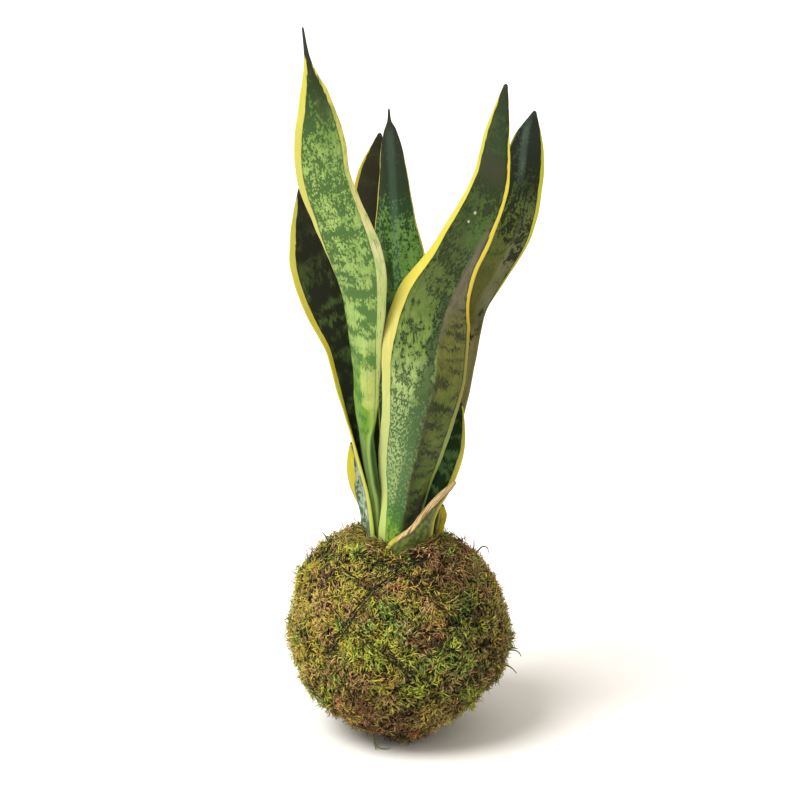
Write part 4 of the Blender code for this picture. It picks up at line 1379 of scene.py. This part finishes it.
# Azimuth, elevation, spread in degrees, colour and strength
MOSS_PATCHES = (
    (209, 39, 7, "umber", 1.6),
    (222, 45, 24, "gold", 0.9),
    (205, 10, 28, "gold", 0.8),
    (340, 48, 24, "brown", 1.0),
    (355, 52, 16, "rust", 0.5),
    (327, 59, 8, "deep", 1.4),
    (285, 47, 6, "rust", 0.5),
    (298, 60, 9, "rust", 0.8),
    (300, 62, 11, "brown", 1.2),
    (300, 42, 10, "brown", 0.8),
    (307, 28, 8, "deep", 1.2),
    (318, 22, 7, "umber", 0.8),
    (330, 8, 16, "brown", 0.7),
    (282, 15, 5, "rust", 1.4),
    (272, 20, 4, "tan", 1.6),
    (250, 20, 26, "lime", 0.5),
    (258, 25, 12, "green", 0.5),
    (298, 3, 12, "green", 0.8),
    (262, -8, 20, "lime", 0.7),
    (232, 40, 7, "tan", 1.4),
    (226, 34, 9, "tan", 0.8),
    (285, 33, 6, "tan", 1.0),
    (275, 42, 7, "rust", 0.7),
    (262, -3, 5, "brown", 1.2),
    (219, 19, 8, "tan", 1.0),
    (225, 24, 7, "rust", 0.5),
    (276, -6, 6, "umber", 0.8),
    (248, -24, 14, "brown", 1.2),
    (262, -36, 22, "brown", 1.4),
    (248, -48, 20, "brown", 2.4),
    (240, -45, 20, "rust", 0.8),
    (256, -52, 14, "umber", 0.8),
    (300, -20, 14, "olive", 0.8),
    (262, 58, 10, "umber", 0.4),
)


def pick_tones(ways, rng):
    """The number of a colour for each direction."""
    shares = np.tile(np.array(TONE_SHARES), (len(ways), 1))
    names = list(MOSS_TONES)
    for index in range(len(names)):
        lean = 2.4 * field(ways, 3.2, 20 + index) + 3.4 * field(ways, 10, 40 + index)
        shares[:, index] *= np.exp(lean)
    shares /= shares.sum(axis=1)[:, None]
    for azimuth, elevation, spread, colour, strength in MOSS_PATCHES:
        away = np.arccos(np.clip(ways @ toward(azimuth, elevation), -1, 1))
        shares[:, names.index(colour)] += strength * np.exp(-(away / radians(spread)) ** 2)
    shares /= shares.sum(axis=1)[:, None]
    pick = (rng.random(len(ways))[:, None] > np.cumsum(shares, axis=1)).sum(axis=1)
    return np.minimum(pick, len(names) - 1)


def moss_tints(tones, light, rng):
    palette = np.array(list(MOSS_TONES.values())) * MOSS_BRIGHTNESS
    tints = palette[tones] * (light * rng.uniform(0.7, 1.3, len(tones)))[:, None]
    return tints * np.minimum(1, BRIGHTEST_SHOOT / tints.max(axis=1))[:, None]


# %% Shoot finish
# A paler tip: partly the living tip's colour and partly a painted sheen
PALE_TIP_AND_SHEEN = tone(190, 182, 124)


def shoot_finish(name, roughness):
    paint = Paint(name, roughness)
    tint = paint.attribute("tint", "Color")
    rise = paint.attribute("rise")
    mottle = paint.noise(paint.place(), scale=1500, detail=2)
    # Darker toward the root: partly the older stem's colour and partly painted shade deep among the
    # shoots
    colour = paint.mix(1 - paint.step(rise, -0.25, 0.5), tint, (0.32, 0.27, 0.16), "MULTIPLY")
    colour = paint.mix(paint.step(rise, 0.5, 1.1) * 0.3, colour, PALE_TIP_AND_SHEEN)
    colour = paint.mix(paint.step(mottle, 0.45, 0.7) * 0.4, colour, (0.50, 0.45, 0.38), "MULTIPLY")
    paint.set(Base_Color=colour, Roughness=roughness + mottle * 0.15, Specular_IOR_Level=0.15)
    return paint.material


# %% [markdown]
# ## Tufts
# The shoots don't stand in an even fur. They grow in tufts about a centimetre wide, each a
# low cushion with its own colour, its own lean, and dark gaps around it. The tufts' middles
# follow a golden spiral over the ball, shifted at random, so that they cover it evenly.

# %% Tufts
TUFT_COUNT = 1150
TUFT_SEED = 100
TUFT_RADII = (3.0, 6.6)
TUFT_RISES = (0.2, 3.4)
GOLDEN_ANGLE = pi * (3 - sqrt(5))


def tangents(ways, rng):
    return unit(np.cross(ways, rng.normal(size=ways.shape)))


rng = np.random.default_rng(TUFT_SEED)
turns = GOLDEN_ANGLE * (np.arange(TUFT_COUNT) + 0.5)
heights = 1 - 2 * (np.arange(TUFT_COUNT) + 0.5) / TUFT_COUNT
flats = np.sqrt(1 - heights ** 2)
tuft_ways = np.stack([flats * np.cos(turns), flats * np.sin(turns), heights], axis=1)
tuft_ways = unit(tuft_ways + rng.normal(0, 0.03, tuft_ways.shape))
tuft_radius = rng.uniform(*TUFT_RADII, TUFT_COUNT)
tuft_rise = rng.uniform(*TUFT_RISES, TUFT_COUNT)
tuft_light = rng.uniform(0.66, 1.28, TUFT_COUNT)
tuft_fan = rng.uniform(0.15, 1.0, TUFT_COUNT)
tuft_heading = tangents(tuft_ways, rng)
tuft_beside = np.cross(tuft_ways, tuft_heading)
tuft_tone = pick_tones(tuft_ways, rng)
print("tufts:", TUFT_COUNT)


# %% [markdown]
# ## Where the shoots grow
# Each shoot belongs to a tuft: it stands higher near the tuft's middle, shares its colour and
# leans with it or fans out from it. It is left out where it would start inside the mouth or
# under the resting spot, or where its path would run through a leaf.

# %% Lying shoots
STRAY_TONE_SHARE = 0.32


def on_the_moss(ways):
    """Whether a direction meets the moss outside the mouth and above the resting spot."""
    places = BALL_CENTRE + ways * (MOSS_RADIUS + swell(ways, MOSS_SWELLINGS))[:, None]
    in_mouth = ((places[:, 0] / MOUTH_HALF_LENGTH) ** 2
                + ((places[:, 1] - MOUTH_CENTRE_Y) / MOUTH_HALF_WIDTH) ** 2) < 1
    return ~(in_mouth & (places[:, 2] > BALL_CENTRE[2])) & (places[:, 2] > 0.6)


def moss_layer(name, count, seed, depth, length, radius, lean, droop, curl, light, leaflets=False):
    """Lengths are in millimetres and angles in degrees, each between two limits."""
    rng = np.random.default_rng(seed)
    tuft = rng.choice(TUFT_COUNT, int(count * 1.2), p=tuft_radius ** 2 / (tuft_radius ** 2).sum())
    out = np.sqrt(rng.uniform(0, 1, len(tuft)))
    turns = rng.uniform(0, 2 * pi, len(tuft))
    aside = (tuft_heading[tuft] * np.cos(turns)[:, None] + tuft_beside[tuft] * np.sin(turns)[:, None])
    ways = unit(tuft_ways[tuft] + aside * (out * tuft_radius[tuft] / MOSS_RADIUS)[:, None])
    chosen = np.nonzero(on_the_moss(ways))[0][:count]
    tuft, out, aside, ways = tuft[chosen], out[chosen], aside[chosen], ways[chosen]
    n = len(ways)
    hold = pressed(ways)
    cushion = tuft_rise[tuft] * (1 - out ** 2) * (1 - 0.8 * hold) - 0.8 * hold
    roots = BALL_CENTRE + ways * (moss_radius(ways) + cushion + rng.uniform(*depth, n))[:, None]
    fan = tuft_fan[tuft][:, None]
    heading = tuft_heading[tuft] * (1 - fan) + aside * fan + rng.normal(0, 0.32, ways.shape)
    heading = unit(heading - ways * np.sum(heading * ways, axis=1)[:, None])
    path, headings = shoot_paths(
        roots, ways, heading, np.radians(rng.uniform(*lean, n)) * (1 - 0.7 * hold),
        np.radians(rng.uniform(*droop, n)), np.radians(rng.normal(0, curl, n)),
        rng.uniform(*length, n))
    tones = np.where(rng.random(n) < STRAY_TONE_SHARE, pick_tones(ways, rng), tuft_tone[tuft])
    # Painted shade: darker toward a tuft's edge, under the thread and in the lower layers
    shade = light * tuft_light[tuft] * (1.1 - 0.45 * out ** 2) * (1 - 0.2 * hold)
    shade = shade * (1 + swell(ways, MOSS_PAINTED_LIGHT_AND_SHADE))
    tint = moss_tints(tones, shade, rng)
    radii = rng.uniform(*radius, n)
    roll = rng.uniform(0, 2 * pi, n)
    keep = clears_leaves(path)
    return grow_shoots(name, path[keep], headings[keep], ways[keep], radii[keep], tint[keep],
                       SHOOT_FINISH, roll[keep], leaflets)


SHOOT_FINISH = shoot_finish("moss_shoot_finish", 0.75)
moss_layer("moss_shoots_under", 12000, seed=101, depth=(-1.8, -0.4), length=(3.0, 6.0),
           radius=(0.28, 0.46), lean=(5, 30), droop=(10, 50), curl=55, light=0.34)
moss_layer("moss_shoots_middle", 12000, seed=120, depth=(-1.0, 0.2), length=(2.6, 5.6),
           radius=(0.24, 0.38), lean=(8, 45), droop=(20, 75), curl=60, light=0.66)
for part in range(2):
    moss_layer(f"moss_fronds_{part + 1}", 3400, seed=110 + part, depth=(-0.5, 0.5),
               length=(3.0, 5.6), radius=(0.22, 0.32), lean=(4, 60), droop=(15, 70), curl=55,
               light=1.15, leaflets=True)
for part in range(2):
    moss_layer(f"moss_shoots_upper_{part + 1}", 12000, seed=130 + part, depth=(-0.3, 0.9),
               length=(2.0, 4.8), radius=(0.22, 0.36), lean=(8, 76), droop=(15, 80), curl=70,
               light=1.5)

# %% [markdown]
# ## Moss round the leaf bases
# The mouth of the ball is stuffed with loose moss that stands on the soil between the leaves.
# These shoots start at the soil, rise steeply past the mouth's rim and spread outward there.

# %% Collar of moss
COLLAR_SEED = 104
COLLAR_COUNT = 8000

rng = np.random.default_rng(COLLAR_SEED)
turns = rng.uniform(0, 2 * pi, COLLAR_COUNT)
shares = np.sqrt(rng.uniform(0, 1, COLLAR_COUNT))
collar_x = MOUTH_HALF_LENGTH * shares * np.cos(turns)
collar_y = MOUTH_CENTRE_Y + MOUTH_HALF_WIDTH * shares * np.sin(turns)
collar_up = np.sqrt(MOSS_RADIUS ** 2 - collar_x ** 2 - collar_y ** 2)
collar_directions = unit(np.stack([collar_x, collar_y, collar_up], axis=1))
collar_depth = rng.uniform(0.5, 7.0, COLLAR_COUNT)
collar_roots = BALL_CENTRE + collar_directions * (moss_radius(collar_directions) - collar_depth)[:, None]
outward = unit(np.stack([collar_x, collar_y, np.zeros(COLLAR_COUNT)], axis=1))
skyward = np.tile(np.array((0.0, 0.0, 1.0)), (COLLAR_COUNT, 1))
spin = rng.normal(0, 1.0, COLLAR_COUNT)[:, None]
collar_heading = outward * np.cos(spin) + np.cross(skyward, outward) * np.sin(spin)
collar_path, collar_ways = shoot_paths(
    collar_roots, skyward, collar_heading, np.radians(rng.uniform(10, 65, COLLAR_COUNT)),
    np.radians(rng.uniform(20, 90, COLLAR_COUNT)), np.radians(rng.normal(0, 60, COLLAR_COUNT)),
    rng.uniform(3.5, 8.0, COLLAR_COUNT))
collar_light = 0.95 - 0.09 * collar_depth
collar_tint = moss_tints(pick_tones(collar_directions, rng), collar_light, rng)
keep = clears_leaves(collar_path)
grow_shoots("moss_collar", collar_path[keep], collar_ways[keep], skyward[keep],
            rng.uniform(0.22, 0.42, COLLAR_COUNT)[keep], collar_tint[keep], SHOOT_FINISH,
            rng.uniform(0, 2 * pi, COLLAR_COUNT)[keep])

# %% [markdown]
# ## Binding thread
# The thread follows the course that was laid out before. Its height above the pressed moss
# changes as it goes, so each strand dips out of sight among the shoots and comes back. Each
# strand is a curve with a round bevel.

# %% Thread finish
def thread_finish():
    paint = Paint("thread_finish", roughness=0.55)
    lint = paint.noise(paint.place(), scale=2600, detail=2)
    paint.set(Base_Color=paint.mix(lint, tone(8, 8, 8), tone(24, 22, 22)),
              Roughness=0.5 + lint * 0.3, Specular_IOR_Level=0.25)
    paint.bump(lint, 0.06 * MM)
    return paint.material


# %% Wound thread
THREAD_RADIUS = 0.19
THREAD_STEPS = 170
THREAD_DIP = 2.0
THREAD_DIP_SCALE = 9
LOWEST_THREAD = 0.6
# The direction of the front, and how far round it the strands begin and end their rise
THREAD_FRONT = (264, 22)
FRONT_EDGE = 0.72
FRONT_FADE = 0.14


def round_curve(name, radius):
    curve = bpy.data.curves.new(name, "CURVE")
    curve.dimensions = "3D"
    curve.bevel_depth = radius * MM
    curve.bevel_resolution = 1
    return curve


thread_curve = round_curve("wound_thread", THREAD_RADIUS)
turns = np.linspace(0, 2 * pi, THREAD_STEPS, endpoint=False)
for number, (axis, polar, seed, height) in enumerate(strands):
    side = np.array(Vector(axis).orthogonal().normalized())
    circle = np.outer(np.cos(turns), side) + np.outer(np.sin(turns), np.cross(axis, side))
    angle = (polar + WANDER * field(circle, WANDER_SCALE, seed))[:, None]
    ways = np.sin(angle) * circle + np.cos(angle) * axis
    front = np.clip((ways @ toward(*THREAD_FRONT) - FRONT_EDGE) / FRONT_FADE, 0, 1)
    dip = THREAD_DIP * field(ways, THREAD_DIP_SCALE, 200 + number)
    lift = SUNK_LIFT + (height - SUNK_LIFT) * front + dip
    places = BALL_CENTRE + ways * (moss_radius(ways) + lift)[:, None]
    places[:, 2] = np.maximum(places[:, 2], LOWEST_THREAD)
    spline = thread_curve.splines.new("POLY")
    spline.points.add(THREAD_STEPS - 1)
    spline.points.foreach_set("co", np.concatenate(
        [places * MM, np.ones((THREAD_STEPS, 1))], axis=1).astype(np.float32).ravel())
    spline.use_cyclic_u = True
thread = bpy.data.objects.new("wound_thread", thread_curve)
scene.collection.objects.link(thread)
thread_curve.materials.append(thread_finish())
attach(thread, "root")
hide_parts("binding_thread")
print("wound_thread:", len(thread_curve.splines), "strands")

# %% [markdown]
# ## Stray shoots
# A few long shoots escape the winding and curl away from the ball, and two lie on the floor
# in front. They are drawn one by one as tapering curves.

# %% Stray shoots
STRAYS = (
    ((38, -6, 96), (41.0, -6, 101), (43.6, -7, 103), (45.4, -7, 102), (45.9, -7, 99.6)),
    ((37.4, -4, 97), (38.4, -4, 102.5), (38.3, -4, 106)),
    ((55, -4, 43), (59, -5, 44.6), (62.5, -5, 43.4), (64, -5, 41.0)),
    ((55.5, -6, 45), (59.5, -7, 46.4), (62, -7, 46.0)),
    ((54, -8, 37.5), (58, -9, 36.5), (61.5, -9, 33)),
    ((-14.8, -20, 7), (-14.6, -24, 2.6), (-13.8, -30, 0.8), (-13.2, -35, 0.6)),
    ((-14.2, -25, 2.6), (-13.0, -31, 1.0), (-10.0, -34, 0.7), (-5.5, -33.5, 0.6)),
    ((-44, -6, 90), (-48.5, -6, 95), (-49.5, -6, 101)),
    ((-38, 2, 102), (-40, 2, 106), (-41.5, 2, 108)),
    ((-56, -4, 60), (-60, -4, 62), (-62, -4, 61)),
)
STRAY_RADIUS = 0.52
STRAY_THINNING = 0.6
# Between these heights a stray shoot turns pale toward the floor
STRAY_GREEN_HEIGHT = 8 * MM
STRAY_PALE_HEIGHT = 3 * MM

stray_curve = round_curve("moss_strays", STRAY_RADIUS)
stray_curve.resolution_u = 6
stray_curve.use_fill_caps = True
for way in STRAYS:
    spline = stray_curve.splines.new("BEZIER")
    spline.bezier_points.add(len(way) - 1)
    for index, (knot, place) in enumerate(zip(spline.bezier_points, way)):
        knot.co = Vector(place) * MM
        knot.handle_left_type = knot.handle_right_type = "AUTO"
        knot.radius = 1.0 - STRAY_THINNING * index / (len(way) - 1)
stray_paint = Paint("stray_finish", roughness=0.7)
stray_place = stray_paint.place()
stray_fleck = stray_paint.noise(stray_place, scale=700)
stray_height = stray_paint.node("SeparateXYZ", {}, {0: stray_place}, 2)
stray_colour = stray_paint.mix(
    stray_paint.step(stray_fleck, 0.4, 0.6), tone(70, 96, 40), tone(104, 104, 50))
stray_pale = stray_paint.step(stray_height, STRAY_GREEN_HEIGHT, STRAY_PALE_HEIGHT)
stray_paint.set(
    Base_Color=stray_paint.mix(stray_pale, stray_colour, tone(132, 152, 96)),
    Roughness=0.65 + stray_fleck * 0.2)
stray_curve.materials.append(stray_paint.material)
strays = bpy.data.objects.new("moss_strays", stray_curve)
scene.collection.objects.link(strays)
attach(strays, "root")
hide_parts("moss_wrap")

# %% [markdown]
# ## Soil and rhizome
# Both sit inside the ball, where only a glimpse shows between the leaves. Their CAD solids
# are right as they are, so they keep their shapes and get finishes of their own: crumbly
# dark soil, and a pale fleshy stem with brown scale rings.

# %% Soil and rhizome finishes
def soil_finish():
    paint = Paint("soil_finish", roughness=1.0)
    place = paint.place()
    crumb = paint.noise(place, scale=420, detail=5, roughness=0.7)
    grit = paint.step(paint.noise(place, scale=1400, detail=1), 0.62, 0.70)
    colour = paint.mix(paint.step(crumb, 0.35, 0.65), tone(34, 24, 16), tone(88, 64, 44))
    colour = paint.mix(grit, colour, tone(150, 126, 96))
    paint.set(Base_Color=colour, Roughness=0.85 + crumb * 0.15)
    paint.bump(crumb, 1.2 * MM)
    return paint.material


def rhizome_finish():
    paint = Paint("rhizome_finish", roughness=0.6)
    place = paint.place()
    ring = paint.noise(place, scale=120, detail=2, distortion=1.2)
    speck = paint.noise(place, scale=1300, detail=2)
    colour = paint.mix(paint.step(ring, 0.42, 0.62), tone(204, 160, 96), tone(158, 108, 58))
    colour = paint.mix(paint.step(speck, 0.55, 0.72) * 0.6, colour, tone(96, 66, 38))
    paint.set(Base_Color=colour, Roughness=0.5 + speck * 0.25)
    paint.bump(ring + speck * 0.3, 0.4 * MM)
    return paint.material


for node, finish in (("soil_ball", soil_finish()), ("rhizome", rhizome_finish())):
    for slot in frame["nodes"][node].material_slots:
        slot.material = finish
